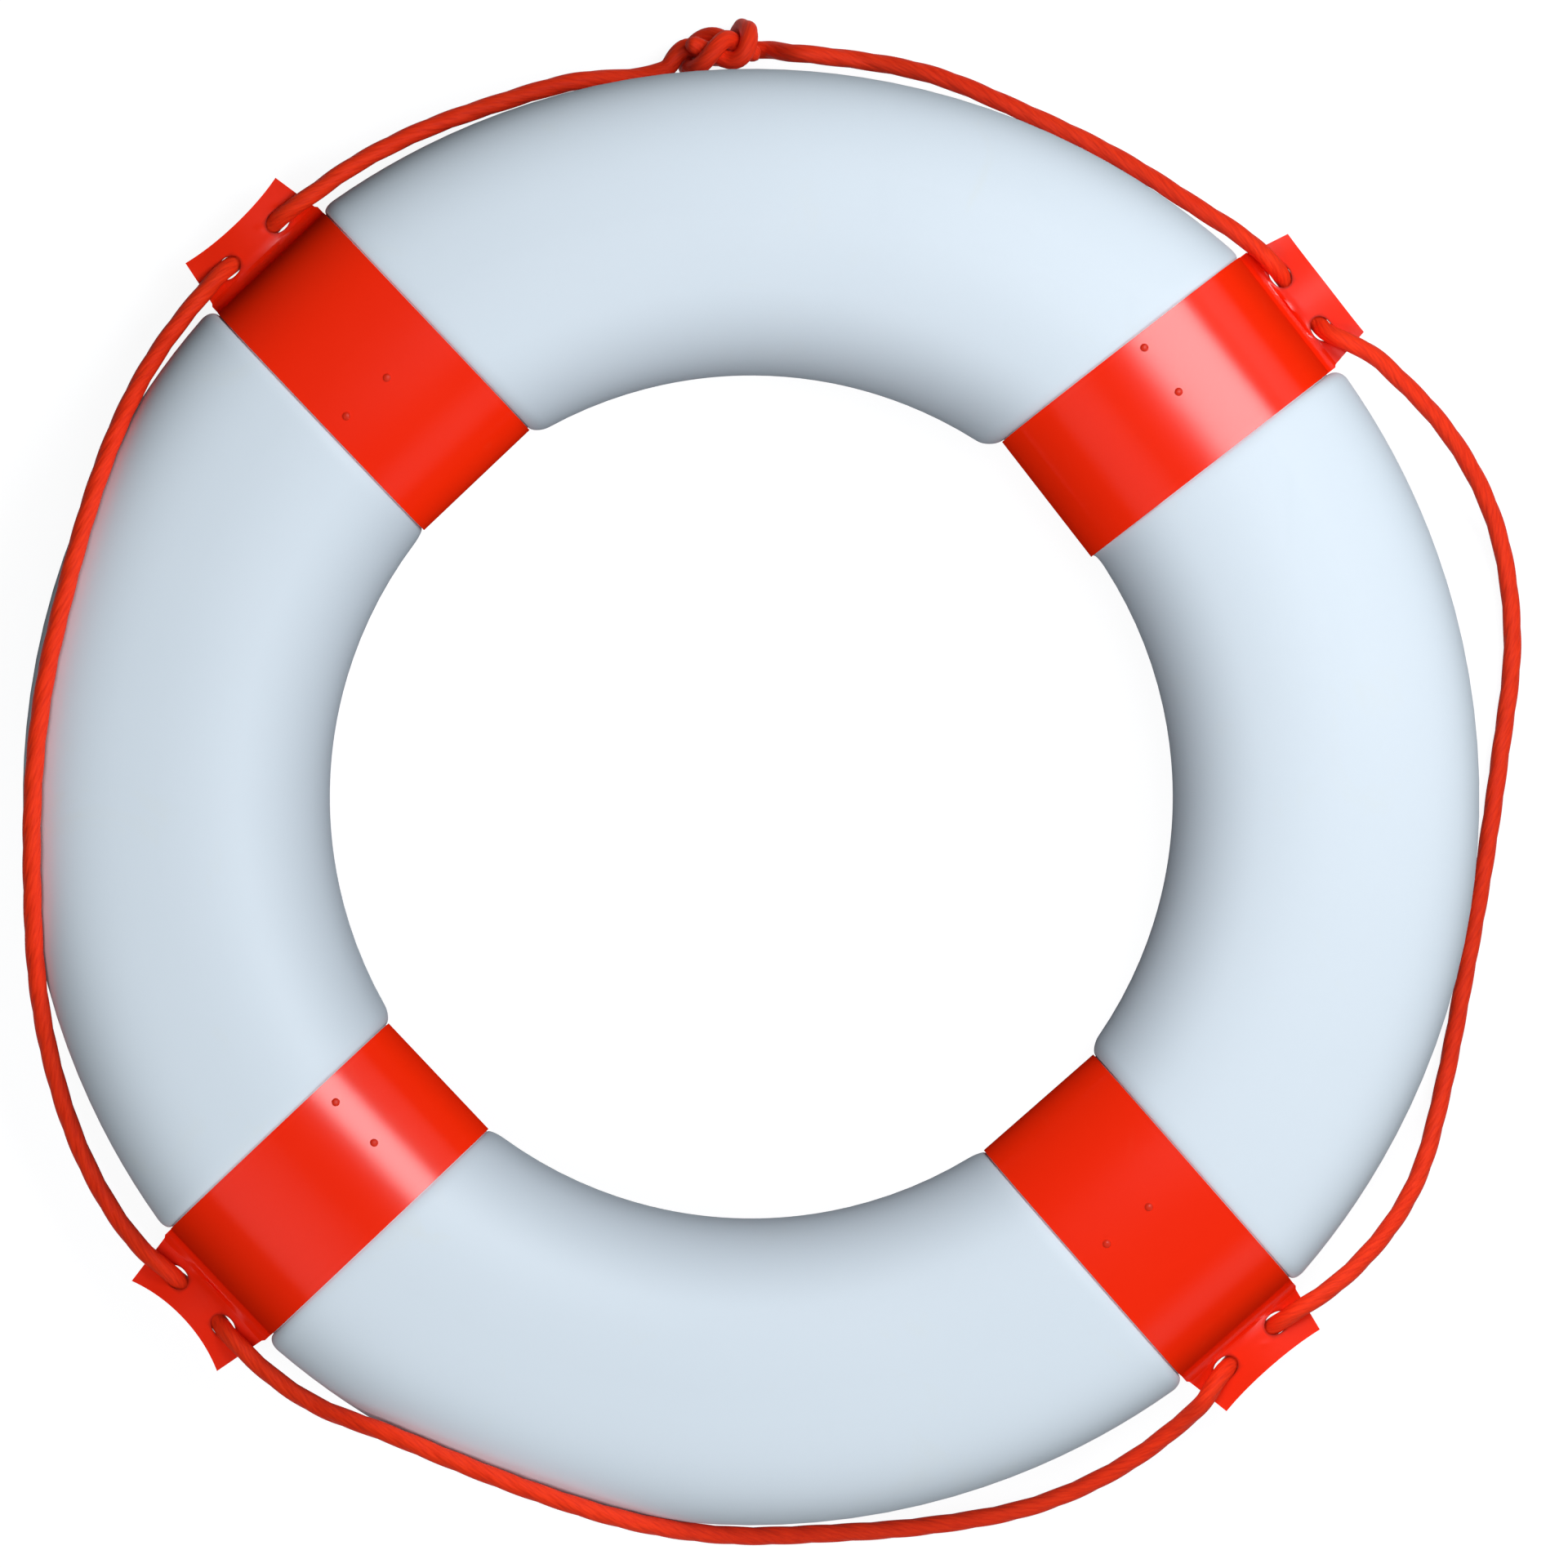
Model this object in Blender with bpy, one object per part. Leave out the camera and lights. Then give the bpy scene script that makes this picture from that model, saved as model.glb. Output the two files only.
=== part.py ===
# Life ring with four bands and a grab line, lying on its back. Metres, +Z up, front face up.
# The ring's axis is Z. Polar angles run anticlockwise from +X, seen from the front.
import math

import bmesh
import bpy
import numpy as np
from mathutils import Matrix, Vector

MM = 0.001
TOUCH_GAP = 0.3 * MM  # kept between pieces that touch
CORE_GAP = 0.8 * MM  # round the foam core

# Ring body
RING_RADIUS = 375 * MM  # outer
HOLE_RADIUS = 217.5 * MM
THICKNESS = 105 * MM
CROWN_RADIUS = 312 * MM  # where the faces are highest, nearer the outer side
OUTER_FULLNESS = 2.9  # superellipse exponent of the outer half of the section
INNER_FULLNESS = 2.3
FOOT_WIDTH = 18 * MM  # flat land along both crowns, which the ring rests on
WALL = 4 * MM
SECTION_STEPS = 28
CORE_SECTION_STEPS = 16
ARC_STEPS = 13  # between two waists
CORE_ARC_STEPS = 7

# Waist under each band, with the depths at the middle of the band
WAIST_OUTER_DEPTH = 6.5 * MM
WAIST_FACE_DEPTH = 1.8 * MM
WAIST_INNER_DEPTH = 0.3 * MM
WAIST_SIDE_ROOM = 0.5 * MM  # beside the band
SHOULDER = 8 * MM  # length of the rounded step up to the full body
SHOULDER_STEPS = 4

# Bands, of one strip each, whose ends are welded flat into a tab at the outer side
BAND_WIDTH = 75 * MM
BAND_THICKNESS = 1.2 * MM
TAB_REACH = 27.4 * MM  # at its middle
TAB_TIP_WIDTH = 64 * MM
TAB_ROOT_FLARE = 2.4 * MM  # where the two plies part from each other
TAB_ROOT_LENGTH = 5 * MM
TAB_ARCH = 2 * MM  # the line behind lifts the middle, and the lines in front press the corners back
TAB_ROWS = 7
TAB_COLUMNS = 12
HOLE_SPACING = 34.7 * MM
HOLE_LENGTH = 15.5 * MM  # punched round and drawn long by the line
HOLE_WIDTH = 12 * MM
HOLE_SIDES = 16

# Filling port of the shell, on the inner side of the back
PORT_RADIUS = 10 * MM
PORT_ANGLE = 268
PORT_SECTION_ANGLE = 225
PLUG_PROUD = 0.6 * MM
PLUG_BEVEL = 0.8 * MM

# Push pins that hold each band
PIN_HEAD_RADIUS = 2.1 * MM
PIN_HEAD_HEIGHT = 0.8 * MM
PIN_RADIUS = 1 * MM
PIN_BITE = 2.8 * MM  # into the shell's wall
PIN_SPACING = 28.5 * MM
PIN_SIDES = 8

# Grab line, one rope threaded through all the tabs
ROPE_RADIUS = 4.8 * MM
ROPE_PULL = 0.5 * MM  # from the middle of a hole towards the tab's tip
THREAD_BEND = 14 * MM  # radius of its middle line through a tab
THREAD_ANGLE = 55  # at the middle of a hole
PIVOT_REACH = 35 * MM  # from a tab's middle to the point that a free stretch swings about
PASS_POINT_SPACING = 4.6 * MM
STRETCH_POINT_SPACING = 29 * MM

# Reef knot of the line's two ends
KNOT_ANGLE = 92.34
KNOT_RADIUS = 387.5 * MM
KNOT_HEIGHT = 21 * MM
KNOT_TURN = 62.4  # these three turn the flat knot as it lies against the ring's edge
KNOT_TILT = -74.2
KNOT_ROLL = 54
STRAND_GAP = 0.6 * MM
KNOT_STEP = 2 * MM
KNOT_PULL = 0.35  # how far each round straightens the strands
KNOT_ROUNDS = 120
KNOT_LAST_ROUNDS = 30  # without a pull, to let every gap open
KNOT_POINT_SPACING = 4.4 * MM

# For each band: polar angle at mid-section, direction that it points in, extra reach of the tab's corners,
# reach of its holes, how far the line leads outwards on its clockwise and anticlockwise side, and where its
# pins sit: radius of their place on the face and offset along the band's width
BANDS = {
    "top_right": (43.2, 37.8, 0.5 * MM, 11.6 * MM, (8 * MM, -1.5 * MM), (299 * MM, 16 * MM)),
    "top_left": (131.6, 133.5, 3.5 * MM, 13.6 * MM, (-2.5 * MM, -1 * MM), (283 * MM, 11.5 * MM)),
    "bottom_left": (222.2, 223.4, 6.5 * MM, 15.6 * MM, (2 * MM, 0), (261 * MM, -12 * MM)),
    "bottom_right": (312.7, 311.2, 2.7 * MM, 12.7 * MM, (4.5 * MM, 4.5 * MM), (291 * MM, -7 * MM)),
}

# Route of each free stretch, as polar angle in degrees, radius and height in millimetres
ROUTE_RIGHT = ((33, 397, 50), (27, 407, 31), (20, 409.5, 12), (12, 402, 5.6), (3, 387.5, 5.4),
               (-6, 382, 5.4), (-15, 382.5, 5.4), (-23, 390, 7.5), (-30, 398, 22), (-36, 396.5, 44))
ROUTE_TOP_RIGHT = ((82, 385, 23), (76, 384, 30), (69, 381.2, 38), (60, 380.7, 46), (53, 381, 55))
ROUTE_TOP_LEFT = ((124, 384.8, 57), (117, 383.5, 50), (110, 381, 38), (103.5, 379, 28))
ROUTE_LEFT = ((144, 381.8, 68), (150, 378.6, 80), (156, 373.2, 89.5), (163, 369, 94.6), (171, 368.6, 95),
              (179, 369.6, 94.3), (187, 373, 89.8), (194, 380.5, 76), (201, 386.5, 58), (209, 391.5, 51),
              (215, 391.5, 54))
ROUTE_BOTTOM = ((234, 385.8, 66), (240, 379.5, 79), (246, 375.2, 86.4), (253, 375.6, 85.6),
                (260, 379.4, 74), (268, 381.5, 56), (276, 383, 36), (284, 387, 22.5), (292, 394, 20),
                (299, 394.5, 30), (305, 391, 47))

# Where the left and the right bight of the reef knot begin, in millimetres
KNOT_ENDS = ((-47, 378.5, 19), (16, 385.4, 26))
# One bight from there on, before it is drawn tight, in millimetres: along the line, outwards, up. The other
# bight is the same, turned about the outward axis.
KNOT_STRAND = ((-17.5, 1.2, 5), (-6.4, 6.5, 1), (0.9, 11.4, -5), (8.3, 13.4, -2), (12.9, 9.7, 5),
               (14.3, 4.8, 8), (14.3, -1.6, 9), (12.9, -8.9, 6), (8.3, -13.4, -2), (0.9, -11.4, -5),
               (-6.4, -6.5, 1), (-11, -7.3, 4), (-15.6, -8.9, 5))

WHITE = (0.72, 0.79, 0.84)
CREAM = (0.86, 0.82, 0.66)
ORANGE_RED = (0.95, 0.06, 0.012)
ROPE_RED = (0.86, 0.05, 0.012)


def cleared():
    for thing in list(bpy.data.objects):
        bpy.data.objects.remove(thing)


def material(name, colour, roughness, metallic=0.0):
    made = bpy.data.materials.new(name)
    made.use_nodes = True
    shader = made.node_tree.nodes["Principled BSDF"]
    shader.inputs["Base Color"].default_value = (*colour, 1)
    shader.inputs["Roughness"].default_value = roughness
    shader.inputs["Metallic"].default_value = metallic
    return made


def placed(name, data, finish, matrix=None):
    """Puts mesh or curve data into the scene as one sub-part."""
    made = bpy.data.objects.new(name, data)
    if finish:
        if not data.materials:
            data.materials.append(finish)
    bpy.context.scene.collection.objects.link(made)
    if matrix:
        made.matrix_world = matrix
    return made


def as_cutter(thing):
    thing.hide_render = True
    thing.display_type = "WIRE"
    return thing


def boolean(target, other, operation="DIFFERENCE"):
    modifier = target.modifiers.new(other.name, "BOOLEAN")
    modifier.operation = operation
    modifier.solver = "EXACT"
    modifier.object = other


# Mesh building


def mesh_of(name, shape, smooth_angle=40):
    """Closes a bmesh into a mesh with its faces outwards, shaded smooth between its sharp edges."""
    bmesh.ops.recalc_face_normals(shape, faces=shape.faces)
    made = bpy.data.meshes.new(name)
    shape.to_mesh(made)
    shape.free()
    made.shade_smooth()
    made.set_sharp_from_angle(angle=math.radians(smooth_angle))
    return made


def looped_grid(name, rings):
    """A closed tube through rings of points, whose last ring joins the first."""
    shape = bmesh.new()
    rows = [[shape.verts.new(point) for point in ring] for ring in rings]
    for row, after in zip(rows, rows[1:] + rows[:1]):
        for i in range(len(row)):
            j = (i + 1) % len(row)
            shape.faces.new((row[i], row[j], after[j], after[i]))
    return mesh_of(name, shape)


def add_prism(shape, outline, direction):
    """A closed prism from an outline of points, drawn out by a vector."""
    base = [shape.verts.new(point) for point in outline]
    top = [shape.verts.new(Vector(point) + Vector(direction)) for point in outline]
    shape.faces.new(base)
    shape.faces.new(list(reversed(top)))
    for i in range(len(base)):
        j = (i + 1) % len(base)
        shape.faces.new((base[j], base[i], top[i], top[j]))


def turned(name, profile, sides):
    """A solid of revolution about Z from its (radius, height) profile, which starts and ends on the axis."""
    shape = bmesh.new()
    ends = [shape.verts.new((0, 0, height)) for _, height in (profile[0], profile[-1])]
    rows = []
    for radius, height in profile[1:-1]:
        turns = (2 * math.pi * i / sides for i in range(sides))
        rows.append([shape.verts.new((radius * math.cos(a), radius * math.sin(a), height)) for a in turns])
    for i in range(sides):
        j = (i + 1) % sides
        shape.faces.new((ends[0], rows[0][i], rows[0][j]))
        for low, high in zip(rows, rows[1:]):
            shape.faces.new((low[i], high[i], high[j], low[j]))
        shape.faces.new((rows[-1][j], rows[-1][i], ends[1]))
    return mesh_of(name, shape)


# Section of the ring: half a superellipse on each side of the crown


def power(value, exponent):
    return math.copysign(abs(value) ** exponent, value)


def section(inner_radius, outer_radius, half_height, grow, steps, foot=FOOT_WIDTH):
    """Points (radius, height from the middle) around the section, from the outer side over the front."""
    inner_half = CROWN_RADIUS - inner_radius + grow
    outer_half = outer_radius - CROWN_RADIUS + grow
    height = half_height + grow
    points = []
    for i in range(steps):
        turn = 2 * math.pi * i / steps
        if i * 4 in (steps, 3 * steps):
            side = 1 if i * 4 == steps else -1
            points.append((CROWN_RADIUS + side * foot / 2, side * height))
            points.append((CROWN_RADIUS - side * foot / 2, side * height))
            continue
        half, fullness = (outer_half, OUTER_FULLNESS) if math.cos(turn) > 0 else (inner_half, INNER_FULLNESS)
        points.append((CROWN_RADIUS + half * power(math.cos(turn), 2 / fullness),
                       height * power(math.sin(turn), 2 / fullness)))
    return points


def body_section(grow, steps):
    return section(HOLE_RADIUS, RING_RADIUS, THICKNESS / 2, grow, steps)


class Band:
    """Frame of one band: X points outwards along it, Y across its width, Z up, from the middle of the ring."""

    def __init__(self, name, angle, direction, corner_flare, hole_reach, leads, pins):
        self.name = name
        self.direction = math.radians(direction)
        middle = (RING_RADIUS + HOLE_RADIUS) / 2
        self.offset = middle * math.sin(math.radians(angle - direction))
        self.corner_flare = corner_flare
        self.leads = leads
        self.pin_radius, self.pin_offset = pins
        self.inner_reach = math.sqrt((HOLE_RADIUS + WAIST_INNER_DEPTH) ** 2 - self.offset**2)
        self.outer_reach = math.sqrt((RING_RADIUS - WAIST_OUTER_DEPTH) ** 2 - self.offset**2)
        self.outside = self.outer_reach + TOUCH_GAP + BAND_THICKNESS
        self.hole_x = self.outside + hole_reach
        self.rope_x = self.hole_x + ROPE_PULL
        self.matrix = (Matrix.Translation((0, 0, THICKNESS / 2))
                       @ Matrix.Rotation(self.direction, 4, "Z"))

    def floor(self, grow, steps):
        """The waist's section in this frame, grown by the given amount."""
        return section(self.inner_reach, self.outer_reach, THICKNESS / 2 - WAIST_FACE_DEPTH, grow, steps)

    def side_angle(self, radius, across):
        """Polar angle at which the line at this place across the band meets a circle."""
        return self.direction + math.asin((self.offset + across) / radius)

    def station(self, across, share, grow, steps):
        """One ring of points across the waist: its floor at share 0, the full body at share 1."""
        ring = []
        sideways = self.offset + across
        for (low_x, low_z), (radius, high_z) in zip(self.floor(grow, steps), body_section(grow, steps)):
            x = low_x + share * (math.sqrt(radius**2 - sideways**2) - low_x)
            z = low_z + share * (high_z - low_z)
            ring.append(self.matrix @ Vector((x, sideways, z)))
        return ring


def ring_stations(bands, grow, steps, arc_steps, shoulder_steps):
    """Rings of points all round the body: across each waist, then along the arc to the next one."""
    rings = []
    floor_half = BAND_WIDTH / 2 + WAIST_SIDE_ROOM
    profile = body_section(grow, steps)
    for band, after in zip(bands, bands[1:] + bands[:1]):
        climb = []
        for i in range(shoulder_steps + 1):
            turn = math.pi / 2 * i / shoulder_steps
            climb.append((floor_half + SHOULDER * (1 - math.cos(turn)), math.sin(turn)))
        for across, share in climb[::-1]:
            rings.append(band.station(-across, share, grow, steps))
        for across, share in climb:
            rings.append(band.station(across, share, grow, steps))
        side = floor_half + SHOULDER
        for i in range(1, arc_steps):
            ring = []
            for radius, z in profile:
                start = band.side_angle(radius, side)
                end = after.side_angle(radius, -side)
                turn = start + (end - start) % (2 * math.pi) * i / arc_steps
                ring.append((radius * math.cos(turn), radius * math.sin(turn), z + THICKNESS / 2))
            rings.append(ring)
    return rings


def surface_frame(radius_z_before, radius_z_after):
    """Middle and outward normal, in the section's plane, of one side of its outline."""
    (x0, z0), (x1, z1) = radius_z_before, radius_z_after
    normal = Vector((z1 - z0, x0 - x1)).normalized()
    return Vector(((x0 + x1) / 2, (z0 + z1) / 2)), normal


# Body


def port_matrix():
    """Frame of the filling port: Z points out of the shell."""
    outline = body_section(0, 360)
    index = PORT_SECTION_ANGLE + 1  # the front land holds one point more than its turn
    middle, normal = surface_frame(outline[index], outline[index + 1])
    turn = Matrix.Rotation(math.radians(PORT_ANGLE), 4, "Z")
    out = turn @ Vector((normal.x, 0, normal.y))
    place = turn @ Vector((middle.x, 0, middle.y + THICKNESS / 2))
    return Matrix.Translation(place) @ out.to_track_quat("Z", "Y").to_matrix().to_4x4()


def pin_places(band):
    """Frames of a band's two pins, in the band's own frame: Z points out of the band's face."""
    outline = band.floor(TOUCH_GAP + BAND_THICKNESS, SECTION_STEPS)
    front = outline[: len(outline) // 2 + 1]
    for before, after in zip(front, front[1:]):
        if after[0] <= band.pin_radius <= before[0]:
            middle, normal = surface_frame(before, after)
            break
    out = Vector((normal.x, 0, normal.y))
    turn = out.to_track_quat("Z", "Y").to_matrix().to_4x4()
    places = []
    for side in (-0.5, 0.5):
        across = band.offset + band.pin_offset + side * PIN_SPACING
        places.append(Matrix.Translation((middle.x, across, middle.y)) @ turn)
    return places


def pin_hole_cutter(band, name):
    """Both pin holes of a band, from above its head down to just past its tip."""
    shape = bmesh.new()
    radius = PIN_RADIUS + TOUCH_GAP
    depth = BAND_THICKNESS + PIN_BITE + 2 * TOUCH_GAP
    for place in pin_places(band):
        outline = []
        for i in range(PIN_SIDES):
            turn = 2 * math.pi * i / PIN_SIDES
            outline.append(place @ Vector((radius * math.cos(turn), radius * math.sin(turn), -depth)))
        out = place.to_3x3() @ Vector((0, 0, depth + PIN_HEAD_HEIGHT))
        add_prism(shape, outline, out)
    return as_cutter(placed(name, mesh_of(name, shape), None, band.matrix))


def make_shell(bands):
    plastic = material("shell_white_polyethylene", WHITE, 0.42)
    outside = looped_grid("shell", ring_stations(bands, 0, SECTION_STEPS, ARC_STEPS, SHOULDER_STEPS))
    shell = placed("shell", outside, plastic)
    rings = ring_stations(bands, -WALL, CORE_SECTION_STEPS, CORE_ARC_STEPS, 1)
    boolean(shell, as_cutter(placed("cavity", looped_grid("cavity", rings), None)))
    bore = turned("port_bore", ((0, -WALL * 1.5), (PORT_RADIUS, -WALL * 1.5), (PORT_RADIUS, WALL), (0, WALL)), 20)
    boolean(shell, as_cutter(placed("port_bore", bore, None, port_matrix())))
    for band in bands:
        boolean(shell, pin_hole_cutter(band, "shell_pin_holes_" + band.name))


def make_core(bands):
    foam = material("core_foam", CREAM, 0.9)
    rings = ring_stations(bands, -WALL - CORE_GAP, CORE_SECTION_STEPS, CORE_ARC_STEPS, 1)
    placed("foam_core", looped_grid("foam_core", rings), foam)


def make_plug():
    plastic = material("plug_white_polyethylene", WHITE, 0.5)
    radius = PORT_RADIUS - TOUCH_GAP
    bottom = -WALL + TOUCH_GAP
    profile = ((0, bottom), (radius - PLUG_BEVEL, bottom), (radius, bottom + PLUG_BEVEL),
               (radius, PLUG_PROUD - PLUG_BEVEL), (radius - PLUG_BEVEL, PLUG_PROUD), (0, PLUG_PROUD))
    placed("filling_plug", turned("filling_plug", profile, 20), plastic, port_matrix())


# Bands


def add_tab(shape, band):
    """The two welded plies that stand out from the band, arched and flared, with a shallow hollow tip."""
    root = band.outside - BAND_THICKNESS / 2
    rows = []
    for i in range(TAB_ROWS + 1):
        along = i / TAB_ROWS
        half_width = (BAND_WIDTH - TOUCH_GAP) / 2 * (1 - along) + TAB_TIP_WIDTH / 2 * along
        lift = min(1, along / 0.4)
        lift = lift * lift * (3 - 2 * lift)
        row = []
        for j in range(TAB_COLUMNS + 1):
            across = 2 * j / TAB_COLUMNS - 1
            reach = TAB_REACH + BAND_THICKNESS / 2 + band.corner_flare * across**2
            parting = max(0, 1 - along * reach / TAB_ROOT_LENGTH) ** 2
            half_thickness = BAND_THICKNESS + TAB_ROOT_FLARE * parting
            y = across * half_width
            crest = TAB_ARCH * lift * math.cos(math.pi * y / HOLE_SPACING)
            row.append(((root + along * reach, band.offset + y, crest + half_thickness),
                        (root + along * reach, band.offset + y, crest - half_thickness)))
        rows.append(row)
    verts = [[[shape.verts.new(point) for point in pair] for pair in row] for row in rows]
    for i in range(TAB_ROWS):
        for j in range(TAB_COLUMNS):
            a, b, c, d = verts[i][j], verts[i + 1][j], verts[i + 1][j + 1], verts[i][j + 1]
            shape.faces.new((a[0], b[0], c[0], d[0]))
            shape.faces.new((d[1], c[1], b[1], a[1]))
    border = [verts[0][j] for j in range(TAB_COLUMNS)]
    border += [verts[i][TAB_COLUMNS] for i in range(TAB_ROWS)]
    border += [verts[TAB_ROWS][j] for j in range(TAB_COLUMNS, 0, -1)]
    border += [verts[i][0] for i in range(TAB_ROWS, 0, -1)]
    for pair, after in zip(border, border[1:] + border[:1]):
        shape.faces.new((pair[0], after[0], after[1], pair[1]))


def add_strap(shape, band):
    """The strip round the waist: a straight sleeve of the waist's own section."""
    half = BAND_WIDTH / 2
    inner = band.floor(TOUCH_GAP, SECTION_STEPS)
    outer = band.floor(TOUCH_GAP + BAND_THICKNESS, SECTION_STEPS)
    rows = []
    for outline, across in ((inner, -half), (outer, -half), (outer, half), (inner, half)):
        rows.append([shape.verts.new((x, band.offset + across, z)) for x, z in outline])
    for row, after in zip(rows, rows[1:] + rows[:1]):
        for i in range(len(row)):
            j = (i + 1) % len(row)
            shape.faces.new((row[i], row[j], after[j], after[i]))


def hole_cutter(band):
    shape = bmesh.new()
    depth = 4 * (BAND_THICKNESS + TAB_ARCH)
    for side in (-0.5, 0.5):
        outline = []
        for i in range(HOLE_SIDES):
            turn = 2 * math.pi * (i + 0.5) / HOLE_SIDES
            outline.append((band.hole_x + HOLE_WIDTH / 2 * math.cos(turn),
                            band.offset + side * HOLE_SPACING + HOLE_LENGTH / 2 * math.sin(turn), -depth / 2))
        add_prism(shape, outline, (0, 0, depth))
    name = "tab_holes_" + band.name
    return as_cutter(placed(name, mesh_of(name, shape), None, band.matrix))


def make_bands(bands):
    vinyl = material("band_orange_vinyl", ORANGE_RED, 0.22)
    for band in bands:
        strap = bmesh.new()
        add_strap(strap, band)
        made = placed("band_" + band.name, mesh_of("band_" + band.name, strap), vinyl, band.matrix)
        tab = bmesh.new()
        add_tab(tab, band)
        name = "tab_" + band.name
        boolean(made, as_cutter(placed(name, mesh_of(name, tab), None, band.matrix)), "UNION")
        boolean(made, hole_cutter(band))
        boolean(made, pin_hole_cutter(band, "band_pin_holes_" + band.name))


def make_pins(bands):
    nylon = material("pin_orange_nylon", ORANGE_RED, 0.35)
    tip = -(BAND_THICKNESS + TOUCH_GAP + PIN_BITE)
    head = TOUCH_GAP + PIN_HEAD_HEIGHT
    profile = ((0, tip), (PIN_RADIUS, tip), (PIN_RADIUS, TOUCH_GAP), (PIN_HEAD_RADIUS, TOUCH_GAP),
               (PIN_HEAD_RADIUS, TOUCH_GAP + PIN_HEAD_HEIGHT / 2), (PIN_HEAD_RADIUS * 0.6, head), (0, head))
    pin = turned("band_pin", profile, PIN_SIDES)
    for band in bands:
        for number, place in enumerate(pin_places(band), 1):
            placed(f"pin_{band.name}_{number}", pin, nylon, band.matrix @ place)


# Grab line


def smooth_curve(points, start, end, samples=24):
    """Dense points on one smooth curve through these, leaving the first and reaching the last in given directions."""
    points = np.array(points)
    steps = np.linalg.norm(np.diff(points, axis=0), axis=1)
    slopes = np.zeros_like(points)
    before = np.diff(points, axis=0)[:-1] / steps[:-1, None]
    after = np.diff(points, axis=0)[1:] / steps[1:, None]
    slopes[1:-1] = (before * steps[1:, None] + after * steps[:-1, None]) / (steps[1:] + steps[:-1])[:, None]
    slopes[0], slopes[-1] = start, end
    t = np.linspace(0, 1, samples, endpoint=False)[:, None]
    curve = []
    for p, q, m, n, step in zip(points, points[1:], slopes, slopes[1:], steps):
        curve.append((2 * t**3 - 3 * t**2 + 1) * p + (t**3 - 2 * t**2 + t) * step * m
                     + (3 * t**2 - 2 * t**3) * q + (t**3 - t**2) * step * n)
    return np.vstack(curve + [points[-1:]])


def lengths_along(points):
    return np.concatenate([[0], np.cumsum(np.linalg.norm(np.diff(points, axis=0), axis=1))])


def read_out(points, spacing):
    """The same line with its points about this far apart."""
    along = lengths_along(points)
    wanted = np.linspace(0, along[-1], max(2, round(along[-1] / spacing) + 1))
    return np.column_stack([np.interp(wanted, along, points[:, k]) for k in range(3)])


def away_from(points, centre, distance):
    """Leaves out the points nearer than this to a centre."""
    return points[np.linalg.norm(points - np.array(centre), axis=1) >= distance]


def thread_path(band):
    """Dense middle line of the rope through a tab, in the band's frame, from pivot to pivot."""
    rise = THREAD_BEND * (1 - math.cos(math.radians(THREAD_ANGLE)))
    run = THREAD_BEND * math.sin(math.radians(THREAD_ANGLE))
    hole = HOLE_SPACING / 2
    half = [(0, -rise), (hole - run, -rise)]
    turns = [math.radians(THREAD_ANGLE) * i / 12 for i in range(1, 13)]
    half += [(hole - run + THREAD_BEND * math.sin(a), THREAD_BEND * (1 - math.cos(a)) - rise) for a in turns]
    half += [(hole + run - THREAD_BEND * math.sin(a), rise - THREAD_BEND * (1 - math.cos(a)))
             for a in turns[-2::-1]]
    half += [(hole + run, rise), (PIVOT_REACH, rise)]
    path = []
    for side in (-1, 1):
        lead = band.leads[0 if side < 0 else 1]
        for across, up in (half[::-1] if side < 0 else half[1:]):
            drift = lead * max(0, (across - hole) / (PIVOT_REACH - hole)) ** 2
            path.append((band.rope_x + drift, band.offset + side * across, up))
    path = np.array(path)
    along = lengths_along(path)
    wanted = np.arange(0, along[-1], 0.5 * MM)
    return np.column_stack([np.interp(wanted, along, path[:, k]) for k in range(3)])


def pivot(band, side):
    """Pivot point beside a tab, with the direction in which the rope leaves it there. Side is -1 or 1."""
    lead = band.leads[0 if side < 0 else 1]
    rise = THREAD_BEND * (1 - math.cos(math.radians(THREAD_ANGLE)))
    point = Vector((band.rope_x + lead, band.offset + side * PIVOT_REACH, rise))
    slope = 2 * lead / (PIVOT_REACH - HOLE_SPACING / 2)
    away = Vector((slope, side, 0)).normalized()
    return band.matrix @ point, band.matrix.to_3x3() @ away


def polar(route):
    return [(r * MM * math.cos(math.radians(a)), r * MM * math.sin(math.radians(a)), z * MM)
            for a, r, z in route]


def add_rope(name, points, finish, parent=None, matrix=None, round_ends=(), sides_resolution=3):
    """A rope piece as a bevelled curve. Each end in round_ends gets a half-ball centred on its last point."""
    rows = [(Vector(p), 1.0) for p in points]
    for end in round_ends:
        at, near = (rows[0][0], rows[1][0]) if end == 0 else (rows[-1][0], rows[-2][0])
        out = (at - near).normalized()
        cap = [(at + out * ROPE_RADIUS * math.sin(math.radians(a)), math.cos(math.radians(a)))
               for a in (30, 58, 84)]
        rows = cap[::-1] + rows if end == 0 else rows + cap
    data = bpy.data.curves.new(name, "CURVE")
    data.dimensions = "3D"
    data.bevel_depth = ROPE_RADIUS
    data.bevel_resolution = sides_resolution
    data.use_fill_caps = True
    spline = data.splines.new("POLY")
    spline.points.add(len(rows) - 1)
    inverse = parent.matrix_basis.inverted() if parent else Matrix()
    for target, (place, width) in zip(spline.points, rows):
        target.co = (*(inverse @ place), 1)
        target.radius = width
    spline.use_smooth = True
    made = placed(name, data, finish, matrix)
    if parent:
        made.parent = parent
    return made


def knot_matrix():
    turn = math.radians(KNOT_ANGLE)
    place = (KNOT_RADIUS * math.cos(turn), KNOT_RADIUS * math.sin(turn), KNOT_HEIGHT)
    return (Matrix.Translation(place) @ Matrix.Rotation(math.radians(KNOT_TURN), 4, "Z")
            @ Matrix.Rotation(math.radians(KNOT_TILT), 4, "X") @ Matrix.Rotation(math.radians(KNOT_ROLL), 4, "Y"))


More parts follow.
